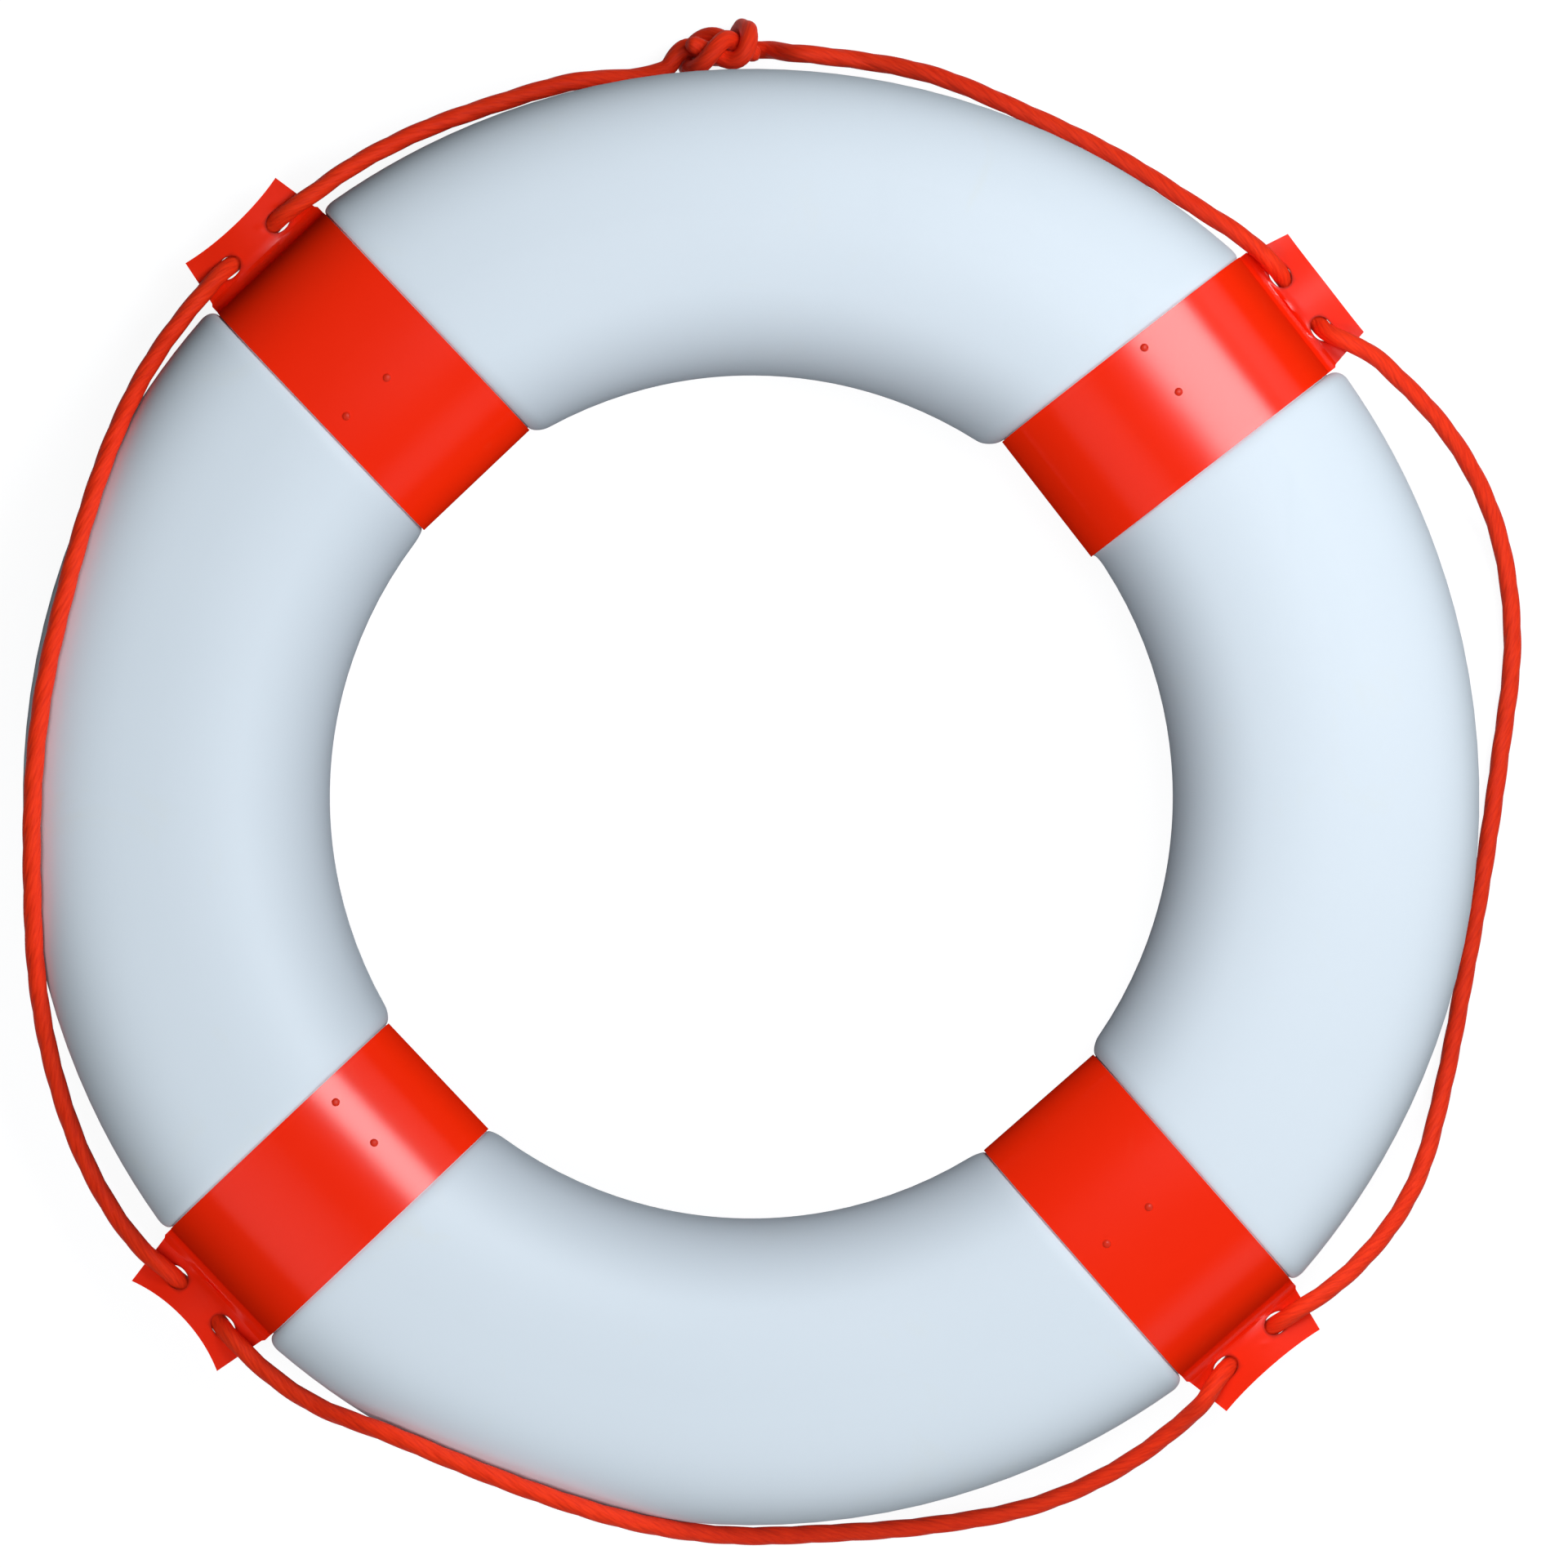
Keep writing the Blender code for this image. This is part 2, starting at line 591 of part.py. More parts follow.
def drawn_tight(strands):
    """Pulls the strands straight step by step, while each stays a rope's width and a gap from itself and the other."""
    apart = 2 * ROPE_RADIUS + STRAND_GAP
    for round_number in range(KNOT_ROUNDS):
        strands = [read_out(strand, KNOT_STEP) for strand in strands]
        if round_number < KNOT_ROUNDS - KNOT_LAST_ROUNDS:
            for strand in strands:
                strand[1:-1] += KNOT_PULL * (strand[:-2] + strand[2:] - 2 * strand[1:-1])
        points = np.vstack(strands)
        owner = np.repeat(np.arange(len(strands)), [len(s) for s in strands])
        place = np.concatenate([lengths_along(s) for s in strands])
        fixed = np.concatenate([[i in (0, len(s) - 1) for i in range(len(s))] for s in strands])
        same_run = (owner[:, None] == owner) & (np.abs(place[:, None] - place) < 1.6 * apart)
        for _ in range(6):
            between = points[:, None] - points
            distance = np.linalg.norm(between, axis=2) + 1e-9
            short = np.where(same_run, 0, np.maximum(0, apart - distance))
            push = (between / distance[:, :, None] * short[:, :, None]).sum(axis=1)
            count = np.maximum(1, (short > 0).sum(axis=1))
            points = points + np.where(fixed[:, None], 0, 0.5 * push / count[:, None])
        cuts = np.cumsum([len(s) for s in strands])[:-1]
        strands = np.split(points, cuts)
    return strands


def least_gap(strands):
    """The smallest space between two rope surfaces, leaving out neighbours along one run."""
    least = math.inf
    for i, one in enumerate(strands):
        for other in strands[i:]:
            distance = np.linalg.norm(one[:, None] - other, axis=2)
            if other is one:
                along = lengths_along(one)
                near = np.abs(along[:, None] - along) < 1.6 * (2 * ROPE_RADIUS + STRAND_GAP)
                distance = np.where(near, math.inf, distance)
            least = min(least, distance.min() - 2 * ROPE_RADIUS)
    return least


def knot_strands():
    """Middle lines of the two interlocked bights in the world: the left end's, then the right end's."""
    matrix = knot_matrix()
    loose = []
    for end, turn in zip(KNOT_ENDS, ((1, 1, 1), (-1, 1, -1))):
        first = np.array(matrix.inverted() @ (Vector(end) * MM)) * turn
        points = np.vstack([first, np.array(KNOT_STRAND) * MM])
        into = points[1] - first
        loose.append(smooth_curve(points, into / np.linalg.norm(into), (-0.9, -0.4, 0.1)) * turn)
    tight = drawn_tight(loose)
    print(f"least gap in the knot: {least_gap(tight) / MM:.2f} mm")
    return [np.array([matrix @ Vector(p) for p in strand]) for strand in tight]


def axis_empty(name, start, end):
    """An empty on the line that a free stretch swings about, with its X along that line."""
    made = bpy.data.objects.new(name, None)
    bpy.context.scene.collection.objects.link(made)
    turn = (start - end).normalized().to_track_quat("X", "Z").to_matrix().to_4x4()
    made.matrix_basis = Matrix.Translation(start) @ turn
    return made


def make_grab_line(bands):
    rope = material("grab_line_red_rope", ROPE_RED, 0.6)
    top_right, top_left, bottom_left, bottom_right = bands
    for band in bands:
        path = thread_path(band)
        for side in (-1, 1):
            point, _ = pivot(band, side)
            path = away_from(path, band.matrix.inverted() @ point, ROPE_RADIUS + TOUCH_GAP)
        add_rope("grab_line_through_" + band.name, read_out(path, PASS_POINT_SPACING), rope,
                 matrix=band.matrix, sides_resolution=2)
    spans = (("right", bottom_right, top_right, ROUTE_RIGHT[::-1]),
             ("left", top_left, bottom_left, ROUTE_LEFT),
             ("bottom", bottom_left, bottom_right, ROUTE_BOTTOM))
    for name, first, last, route in spans:
        start, leaving = pivot(first, 1)
        end, arriving = pivot(last, -1)
        axis = axis_empty(f"loop_{name}_axis", start, end)
        path = smooth_curve([start, *polar(route), end], leaving, -arriving)
        add_rope("grab_line_" + name, read_out(path, STRETCH_POINT_SPACING), rope, axis, round_ends=(0, 1))
    start, leaving = pivot(top_right, 1)
    end, arriving = pivot(top_left, -1)
    axis = axis_empty("loop_top_axis", start, end)
    left_strand, right_strand = [read_out(strand, KNOT_POINT_SPACING) for strand in knot_strands()]
    for name, strand in (("knot_left_bight", left_strand), ("knot_right_bight", right_strand)):
        add_rope(name, strand, rope, axis, sides_resolution=2)
    joins = (("right", start, leaving, ROUTE_TOP_RIGHT[::-1], right_strand),
             ("left", end, arriving, ROUTE_TOP_LEFT, left_strand))
    for name, point, away, route, strand in joins:
        into = strand[1] - strand[0]
        into /= np.linalg.norm(into)
        path = smooth_curve([point, *polar(route), strand[0] - into * ROPE_RADIUS], away, into)
        path = np.vstack([read_out(path, STRETCH_POINT_SPACING), strand[0] - into * TOUCH_GAP])
        add_rope("grab_line_top_" + name, path, rope, axis, round_ends=(0,))


def main():
    cleared()
    bands = [Band(name, *values) for name, values in BANDS.items()]
    make_shell(bands)
    make_core(bands)
    make_plug()
    make_bands(bands)
    make_pins(bands)
    make_grab_line(bands)


main()
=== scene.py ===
# Life ring with four orange bands and a red grab line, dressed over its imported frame.
from math import asin, atan2, copysign, cos, dist, exp, pi, sin, sqrt

import bmesh
import bpy
import numpy as np
from mathutils import Matrix, Vector


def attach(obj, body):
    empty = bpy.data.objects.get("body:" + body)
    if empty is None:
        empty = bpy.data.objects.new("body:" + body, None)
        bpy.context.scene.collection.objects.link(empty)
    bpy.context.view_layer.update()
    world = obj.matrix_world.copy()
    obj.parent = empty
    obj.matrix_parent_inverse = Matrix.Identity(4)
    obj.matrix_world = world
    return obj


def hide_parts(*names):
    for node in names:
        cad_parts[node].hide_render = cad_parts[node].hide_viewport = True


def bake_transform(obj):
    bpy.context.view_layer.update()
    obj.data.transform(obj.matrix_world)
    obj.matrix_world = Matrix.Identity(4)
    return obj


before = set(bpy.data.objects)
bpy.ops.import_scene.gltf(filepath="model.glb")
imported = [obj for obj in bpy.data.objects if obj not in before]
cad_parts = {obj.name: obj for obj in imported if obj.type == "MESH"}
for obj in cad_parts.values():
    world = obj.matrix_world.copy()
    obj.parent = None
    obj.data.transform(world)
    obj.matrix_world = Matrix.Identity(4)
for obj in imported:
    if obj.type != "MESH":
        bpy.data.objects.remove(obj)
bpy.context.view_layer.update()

scene = bpy.context.scene
mm = 0.001
deg = pi / 180


# Sizes that several pieces share

ringSize = {"outerRadius": 375 * mm, "holeRadius": 217.5 * mm, "thickness": 105 * mm, "crownRadius": 312 * mm,
            "outerFullness": 2.9, "innerFullness": 2.3}
middleRadius = (ringSize["outerRadius"] + ringSize["holeRadius"]) / 2
halfThickness = ringSize["thickness"] / 2
waistSize = {"outerDepth": 6.5 * mm, "faceDepth": 1.8 * mm, "innerDepth": 0.3 * mm, "sideRoom": 0.5 * mm,
             "shoulder": 8 * mm}
waistHalfHeight = halfThickness - waistSize["faceDepth"]
touchGap = 0.3 * mm

# For each band: polar angle at mid-section, direction it points in, extra reach of the tab's corners, reach
# of its holes, how far the line leads out clockwise and anticlockwise of it, radius and offset of its pins
bandPlace = {
    "top_right": (43.2, 37.8, 0.5 * mm, 11.6 * mm, (8 * mm, -1.5 * mm), (299 * mm, 16 * mm)),
    "top_left": (131.6, 133.5, 3.5 * mm, 13.6 * mm, (-2.5 * mm, -1 * mm), (283 * mm, 11.5 * mm)),
    "bottom_left": (222.2, 223.4, 6.5 * mm, 15.6 * mm, (2 * mm, 0), (261 * mm, -12 * mm)),
    "bottom_right": (312.7, 311.2, 2.7 * mm, 12.7 * mm, (4.5 * mm, 2 * mm), (291 * mm, -7 * mm)),
}
bandSize = {"width": 75 * mm, "thickness": 1.2 * mm, "columns": 64, "strapRows": 110, "bendRows": 7}
tabSize = {"reach": 27.4 * mm, "tipWidth": 64 * mm, "arch": 2 * mm, "archFrom": 0.4, "rootBend": 5.2 * mm,
           "rows": 22, "plyGap": 0.01 * mm, "weldRows": 4, "holeSpacing": 34.7 * mm, "holeLength": 14 * mm,
           "holeWidth": 10.7 * mm, "holeRows": 4, "holeColumns": 5, "gridBend": 1.6}
holeHalf = tabSize["holeSpacing"] / 2
floorHalf = bandSize["width"] / 2 + waistSize["sideRoom"]
ropeSize = {"radius": 4.8 * mm, "strandRadius": 4.1 * mm, "strands": 3, "lay": 66 * mm, "step": 1.6 * mm,
            "sides": 48, "meltedShare": (0.55, 0.84, 0.96), "pull": 0.5 * mm, "threadBend": 14 * mm,
            "threadAngle": 55, "threadSteps": 12, "threadSpacing": 0.5 * mm, "pivotReach": 35 * mm,
            "smoothRounds": 3, "slackRounds": 60, "looseFrom": 2 * mm, "looseTo": 12 * mm, "tabRoom": 60 * mm}


def power(value, exponent):
    return copysign(abs(value) ** exponent, value)


def ramp(value, start, end):
    share = np.clip((value - start) / (end - start), 0, 1)
    return share * share * (3 - 2 * share)


def sectionPoint(inner, outer, halfHeight, grow, turn):
    # superellipse on each side of the crown, from the outer side over the front
    crown = ringSize["crownRadius"]
    side = cos(turn) > 0
    half = (outer - crown if side else crown - inner) + grow
    fullness = ringSize["outerFullness"] if side else ringSize["innerFullness"]
    return (crown + half * power(cos(turn), 2 / fullness),
            (halfHeight + grow) * power(sin(turn), 2 / fullness))


class BandFrame:
    # X outwards along the band, Y across it, Z up, from the middle of the ring

    def __init__(self, name):
        angle, direction, self.cornerFlare, holeReach, self.leads, self.pins = bandPlace[name]
        self.name = name
        self.direction = direction * deg
        self.offset = middleRadius * sin((angle - direction) * deg)
        self.inner = sqrt((ringSize["holeRadius"] + waistSize["innerDepth"]) ** 2 - self.offset**2)
        self.outer = sqrt((ringSize["outerRadius"] - waistSize["outerDepth"]) ** 2 - self.offset**2)
        self.outside = self.outer + touchGap + bandSize["thickness"]
        self.holeX = self.outside + holeReach
        self.ropeX = self.holeX + ropeSize["pull"]
        self.matrix = Matrix.Translation((0, 0, halfThickness)) @ Matrix.Rotation(self.direction, 4, "Z")

    def lead(self, side):
        return self.leads[0 if side < 0 else 1]

    def waistPoint(self, grow, turn):
        return sectionPoint(self.inner, self.outer, waistHalfHeight, grow, turn)


bands = {name: BandFrame(name) for name in bandPlace}


# Middle line of the grab line

routes = {  # polar angle in degrees, radius and height in millimetres
    "right": ((33, 397.7, 50), (27, 408.3, 31), (20, 412.6, 12), (12, 405.6, 5.6), (3, 390.6, 5.4),
              (-6, 383.4, 5.4), (-15, 383.8, 5.4), (-23, 391.2, 7.5), (-30, 399, 22), (-35.5, 397.5, 42)),
    "topRight": ((82, 386.7, 23), (76, 386.1, 30), (69, 381.6, 38), (60, 380.7, 46), (53, 381, 55)),
    "topLeft": ((124, 384.8, 57), (117, 384.1, 50), (110, 382.1, 40), (103.5, 381.9, 33)),
    "left": ((144, 380.8, 70), (150, 375.2, 86), (156, 369.6, 95), (163, 365.5, 98.8), (171, 365.3, 99),
             (179, 366.6, 98.2), (187, 370.2, 94.5), (194, 377.5, 81), (201, 385.4, 62), (209, 391.9, 51),
             (215, 392.3, 54)),
    "bottom": ((234, 385.2, 67), (240, 375.2, 87.5), (246, 371.9, 92), (253, 372.2, 92), (260, 375.8, 85),
               (268, 380.5, 60), (276, 383.2, 38), (284, 389.8, 22.5), (292, 396.8, 20), (299, 396.8, 30),
               (305, 391.8, 47)),
}
knot = {"angle": 92.34, "radius": 387.5 * mm, "height": 21 * mm, "turn": 62.4, "tilt": -74.2, "roll": 54,
        "gap": 0.6 * mm, "step": 2 * mm, "pulls": (0.35,) * 90 + (0,) * 30,
        "sameRun": 1.6, "pushRounds": 6, "push": 0.5, "meeting": (-0.9, -0.4, 0.1),
        # then set upright as seen from the front: lean taken out, moved, made higher, line led in low
        "lean": 0.3, "leanFrom": (-30 * mm, -12 * mm), "top": 403 * mm, "move": -3.5 * mm, "growth": 0.15,
        "foot": 376 * mm, "left": (-52 * mm, -36 * mm), "right": (6 * mm, 40 * mm),
        "lowIn": (-42 * mm, -31 * mm), "lowShare": 0.3, "lastPulls": (0,) * 20,
        # where the left and the right bight begin, in millimetres
        "ends": ((-47, 378.5, 21), (16, 385.4, 26)),
        # one bight from there on before it is drawn tight, in millimetres: along the line, outwards, up
        "strand": ((-17.5, 1.2, 5), (-6.4, 6.5, 1), (0.9, 11.4, -5), (8.3, 13.4, -2), (12.9, 9.7, 5),
                   (14.3, 4.8, 8), (14.3, -1.6, 9), (12.9, -8.9, 6), (8.3, -13.4, -2), (0.9, -11.4, -5),
                   (-6.4, -6.5, 1), (-11, -7.3, 4), (-15.6, -8.9, 5))}


def smoothCurve(points, start, end, samples=24):
    points = np.array(points)
    runs = np.diff(points, axis=0)
    steps = np.linalg.norm(runs, axis=1)
    slopes = np.zeros_like(points)
    before, after = runs[:-1] / steps[:-1, None], runs[1:] / steps[1:, None]
    slopes[1:-1] = (before * steps[1:, None] + after * steps[:-1, None]) / (steps[1:] + steps[:-1])[:, None]
    slopes[0], slopes[-1] = start, end
    t = np.linspace(0, 1, samples, endpoint=False)[:, None]
    curve = []
    for p, q, m, n, step in zip(points, points[1:], slopes, slopes[1:], steps):
        curve.append((2 * t**3 - 3 * t**2 + 1) * p + (t**3 - 2 * t**2 + t) * step * m
                     + (3 * t**2 - 2 * t**3) * q + (t**3 - t**2) * step * n)
    return np.vstack(curve + [points[-1:]])


def lengthsAlong(points):
    return np.concatenate([[0], np.cumsum(np.linalg.norm(np.diff(points, axis=0), axis=1))])


def readOut(points, spacing):
    along = lengthsAlong(points)
    wanted = np.linspace(0, along[-1], max(2, round(along[-1] / spacing) + 1))
    return np.column_stack([np.interp(wanted, along, points[:, k]) for k in range(3)])


def inWorld(matrix, points):
    return np.array([matrix @ Vector(p) for p in points])


def threadPath(band):
    # through both holes of a tab, from pivot to pivot: in front at the sides, behind in the middle
    bend, angle, reach = ropeSize["threadBend"], ropeSize["threadAngle"] * deg, ropeSize["pivotReach"]
    rise, run, hole = bend * (1 - cos(angle)), bend * sin(angle), holeHalf
    steps = ropeSize["threadSteps"]
    turns = [angle * i / steps for i in range(1, steps + 1)]
    half = [(0, -rise), (hole - run, -rise)]
    half += [(hole - run + bend * sin(a), bend * (1 - cos(a)) - rise) for a in turns]
    half += [(hole + run - bend * sin(a), rise - bend * (1 - cos(a))) for a in turns[-2::-1]]
    half += [(hole + run, rise), (reach, rise)]
    path = []
    for side in (-1, 1):
        for across, up in (half[::-1] if side < 0 else half[1:]):
            drift = band.lead(side) * max(0, (across - hole) / (reach - hole)) ** 2
            path.append((band.ropeX + drift, band.offset + side * across, up))
    return readOut(inWorld(band.matrix, path), ropeSize["threadSpacing"])


def pivot(band, side):
    # where a free stretch swings beside a tab, and the direction in which the rope leaves it there
    rise = ropeSize["threadBend"] * (1 - cos(ropeSize["threadAngle"] * deg))
    lead, reach = band.lead(side), ropeSize["pivotReach"]
    point = Vector((band.ropeX + lead, band.offset + side * reach, rise))
    away = Vector((2 * lead / (reach - holeHalf), side, 0)).normalized()
    return np.array(band.matrix @ point), np.array(band.matrix.to_3x3() @ away)


def polar(route):
    return [(r * mm * cos(a * deg), r * mm * sin(a * deg), z * mm) for a, r, z in route]


def drawnTight(strands, pulls):
    # straightens the strands step by step, while each stays a rope's width from itself and the other
    apart = 2 * ropeSize["radius"] + knot["gap"]
    for pull in pulls:
        strands = [readOut(strand, knot["step"]) for strand in strands]
        for strand in strands:
            strand[1:-1] += pull * (strand[:-2] + strand[2:] - 2 * strand[1:-1])
        points = np.vstack(strands)
        owner = np.repeat(np.arange(len(strands)), [len(s) for s in strands])
        place = np.concatenate([lengthsAlong(s) for s in strands])
        fixed = np.concatenate([[i in (0, len(s) - 1) for i in range(len(s))] for s in strands])
        sameRun = (owner[:, None] == owner) & (np.abs(place[:, None] - place) < knot["sameRun"] * apart)
        for _ in range(knot["pushRounds"]):
            between = points[:, None] - points
            distance = np.linalg.norm(between, axis=2) + 1e-9
            short = np.where(sameRun, 0, np.maximum(0, apart - distance))
            push = (between / distance[:, :, None] * short[:, :, None]).sum(axis=1)
            count = np.maximum(1, (short > 0).sum(axis=1))
            points = points + np.where(fixed[:, None], 0, knot["push"] * push / count[:, None])
        strands = np.split(points, np.cumsum([len(s) for s in strands])[:-1])
    return strands


def setUpright(points):
    points = points.copy()
    x, y, foot = points[:, 0], points[:, 1], knot["foot"]
    inKnot = ramp(x, *knot["left"]) * (1 - ramp(x, *knot["right"]))
    leant = knot["lean"] * (knot["top"] - y) * ramp(x, *knot["leanFrom"])
    low = ramp(x, *knot["lowIn"])
    points[:, 0] = x + inKnot * (leant + knot["move"])
    points[:, 1] = foot + (y - foot) * (1 + knot["growth"] * inKnot) * (low + (1 - low) * knot["lowShare"])
    return points


def knotStrands():
    turn, radius = knot["angle"] * deg, knot["radius"]
    matrix = Matrix.Translation((radius * cos(turn), radius * sin(turn), knot["height"]))
    for key, axis in (("turn", "Z"), ("tilt", "X"), ("roll", "Y")):
        matrix = matrix @ Matrix.Rotation(knot[key] * deg, 4, axis)
    loose = []
    for end, mirror in zip(knot["ends"], ((1, 1, 1), (-1, 1, -1))):
        first = np.array(matrix.inverted() @ (Vector(end) * mm)) * mirror
        points = np.vstack([first, np.array(knot["strand"]) * mm])
        into = points[1] - first
        loose.append(smoothCurve(points, into / np.linalg.norm(into), knot["meeting"]) * mirror)
    tight = [inWorld(matrix, strand) for strand in drawnTight(loose, knot["pulls"])]
    return drawnTight([setUpright(strand) for strand in tight], knot["lastPulls"])


def stretch(first, last, route):
    start, leaving = pivot(first, 1)
    end, arriving = pivot(last, -1)
    return smoothCurve([start, *polar(route), end], leaving, -arriving)


def toKnot(band, side, route, strand):
    point, away = pivot(band, side)
    into = (strand[1] - strand[0]) / np.linalg.norm(strand[1] - strand[0])
    return smoothCurve([point, *polar(route), strand[0] - into * ropeSize["radius"]], away, into)


def wholeLine():
    # one line, clockwise from the right end's tail to the left end's, and how far along it each cut is
    topRight, topLeft, bottomLeft, bottomRight = bands.values()
    leftStrand, rightStrand = knotStrands()
    parts = [rightStrand, toKnot(topRight, 1, routes["topRight"][::-1], rightStrand), threadPath(topRight),
             stretch(bottomRight, topRight, routes["right"][::-1]), threadPath(bottomRight),
             stretch(bottomLeft, bottomRight, routes["bottom"]), threadPath(bottomLeft),
             stretch(topLeft, bottomLeft, routes["left"]), threadPath(topLeft)]
    parts = [part[::-1] for part in parts] + [toKnot(topLeft, -1, routes["topLeft"], leftStrand), leftStrand]
    cuts, total = [], 0
    for i, part in enumerate(parts):
        length = lengthsAlong(part)[-1] + (np.linalg.norm(part[0] - parts[i - 1][-1]) if i else 0)
        if 2 <= i <= 8:
            cuts.append(total + length / 2)
        total += length
    line = readOut(np.vstack([part[(1 if i else 0):] for i, part in enumerate(parts)]), ropeSize["step"])
    for _ in range(ropeSize["smoothRounds"]):
        line[1:-1] = (line[:-2] + 2 * line[1:-1] + line[2:]) / 4
    # between the holes the line also runs out straight, seen from above
    along = lengthsAlong(line)
    free = np.minimum(along - lengthsAlong(rightStrand)[-1], along[-1] - lengthsAlong(leftStrand)[-1] - along)
    for band in bands.values():
        beside = np.abs(inWorld(band.matrix.inverted(), line) - (band.holeX, band.offset, 0))
        away = np.where(beside[:, 0] < ropeSize["tabRoom"], beside[:, 1] - holeHalf, 1)
        free = np.minimum(free, away)
    start, end = ropeSize["looseFrom"], ropeSize["looseTo"]
    share = np.clip((free - start) / (end - start), 0, 1)[1:-1, None]
    for _ in range(ropeSize["slackRounds"]):
        line[1:-1, :2] += share * (line[:-2, :2] + line[2:, :2] - 2 * line[1:-1, :2]) / 4
    return line, cuts


# Helpers for node trees

def reckoned(operation, swapped=False):
    # what a sign such as plus does with an output
    return lambda self, other: maths(operation, *((other, self) if swapped else (self, other)))


class Output:
    # output of a node, reckoned with by maths nodes; a name in brackets gives another output of that node
    __add__, __mul__, __pow__ = reckoned("ADD"), reckoned("MULTIPLY"), reckoned("POWER")
    __sub__, __rsub__ = reckoned("SUBTRACT"), reckoned("SUBTRACT", True)
    __truediv__, __rtruediv__ = reckoned("DIVIDE"), reckoned("DIVIDE", True)

    def __init__(self, node, key=0):
        self.node, self.key, self.tree = node, key, node.id_data

    def __getitem__(self, key):
        return Output(self.node, key)


def wire(source, socket):
    if isinstance(source, Output):
        source.tree.links.new(source.node.outputs[source.key], socket)
    else:
        socket.default_value = source


def addNode(tree, kind, inputs=None, **settings):
    # a kind without its family is a shader node; gives the node's first output
    made = tree.nodes.new(kind if "Node" in kind else "ShaderNode" + kind)
    for key, value in settings.items():
        setattr(made, key, value)
    for key, value in (inputs or {}).items():
        wire(value, made.inputs[key])
    return Output(made)


def maths(operation, *values):
    tree = next(value.tree for value in values if isinstance(value, Output))
    return addNode(tree, "Math", dict(enumerate(values)), operation=operation)


def spread(value, low, high, start=0.0, end=1.0, **settings):
    return addNode(value.tree, "MapRange", {"Value": value, "From Min": start, "From Max": end,
                                            "To Min": low, "To Max": high}, **settings)


def combined(x, y, z):
    return addNode(x.tree, "CombineXYZ", {"X": x, "Y": y, "Z": z})


def separated(vector):
    return addNode(vector.tree, "SeparateXYZ", {"Vector": vector})


def newGroup(name, kind, inputs, outputs):
    # an input has its value or, like an output, the word for its kind
    tree = bpy.data.node_groups.new(name, kind)
    for way, sockets in (("INPUT", inputs), ("OUTPUT", outputs)):
        for label, value in sockets.items():
            word = value if isinstance(value, str) else "Int" if isinstance(value, int) else "Float"
            socket = tree.interface.new_socket(label, in_out=way, socket_type="NodeSocket" + word)
            if word != value:
                socket.default_value = value
    return tree, Output(tree.nodes.new("NodeGroupInput")), tree.nodes.new("NodeGroupOutput").inputs


def placed(name, data):
    made = bpy.data.objects.new(name, data)
    scene.collection.objects.link(made)
    return made


def plainMesh(thing, *helpers):
    # mesh of an object with its modifiers applied; the object goes, and what helped to shape it
    bpy.context.view_layer.update()
    mesh = bpy.data.meshes.new_from_object(thing.evaluated_get(bpy.context.evaluated_depsgraph_get()))
    for used in (thing, *helpers):
        bpy.data.objects.remove(used)
    return mesh


def evaluated(thing, tree):
    thing.modifiers.new(tree.name, "NODES").node_group = tree
    return plainMesh(thing)


def looseCurve(name, points, closed=False):
    data = bpy.data.curves.new(name, "CURVE")
    data.dimensions = "3D"
    spline = data.splines.new("POLY")
    spline.points.add(len(points) - 1)
    spline.points.foreach_set("co", np.column_stack([points, np.ones(len(points))]).ravel())
    spline.use_cyclic_u = closed
    return placed(name, data)


def meshFrom(shape, name):
    mesh = bpy.data.meshes.new(name)
    shape.to_mesh(mesh)
    shape.free()
    return mesh


def turnedOut(mesh, smoothAngle=40):
    shape = bmesh.new()
    shape.from_mesh(mesh)
    bmesh.ops.recalc_face_normals(shape, faces=shape.faces)
    shape.to_mesh(mesh)
    shape.free()
    mesh.shade_smooth()
    mesh.set_sharp_from_angle(angle=smoothAngle * deg)
    return mesh


def piece(name, mesh, finish, body):
    mesh.materials.clear()
    mesh.materials.append(finish)
    made = placed(name, mesh)
    if body:
        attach(made, body)
    return made


# Effects that several finishes share

def noise(place, scale, detail, roughness=0.5, distortion=0.0):
    return addNode(place.tree, "TexNoise", {"Vector": place, "Scale": scale, "Detail": detail,
                                            "Roughness": roughness, "Distortion": distortion})


def handlingGroup():
    # slow variation of tone, small stains and scuffs, from object coordinates
    tree, given, out = newGroup("handling marks", "ShaderNodeTree", {
        "Tone scale": 6.0, "Stain scale": 22.0, "Scuff scale": 90.0},
        {"Tone": "Float", "Stain": "Float", "Scuff": "Float"})
    place = addNode(tree, "TexCoord")["Object"]
    stain = noise(place, given["Stain scale"], 6.0, 0.62, 0.8)
    drawn = addNode(tree, "Mapping", {"Vector": place, "Rotation": (0.3, 0.2, 0.7),
                                      "Scale": (1.0, 0.12, 1.0)})
    scuff = noise(drawn, given["Scuff scale"], 3.0)
    wire(noise(place, given["Tone scale"], 4.0, 0.55), out["Tone"])
    wire(spread(stain, 0.0, 1.0, 0.6, 0.78), out["Stain"])
    wire(spread(scuff, 0.0, 1.0, 0.66, 0.8), out["Scuff"])
    return tree


def grainGroup():
    # fine surface grain as a height, two sizes together
    tree, given, out = newGroup("fine grain", "ShaderNodeTree", {"Coarse scale": 300.0, "Fine scale": 1200.0},
                                {"Height": "Float"})
    place = addNode(tree, "TexCoord")["Object"]
    coarse, fine = noise(place, given["Coarse scale"], 2.0), noise(place, given["Fine scale"], 1.0)
    wire(coarse + fine * 0.4, out["Height"])
    return tree


handlingMarks, fineGrain = handlingGroup(), grainGroup()


def handled(tree, tone, stain, scuff):
    return addNode(tree, "Group", {"Tone scale": tone, "Stain scale": stain, "Scuff scale": scuff},
                   node_tree=handlingMarks)


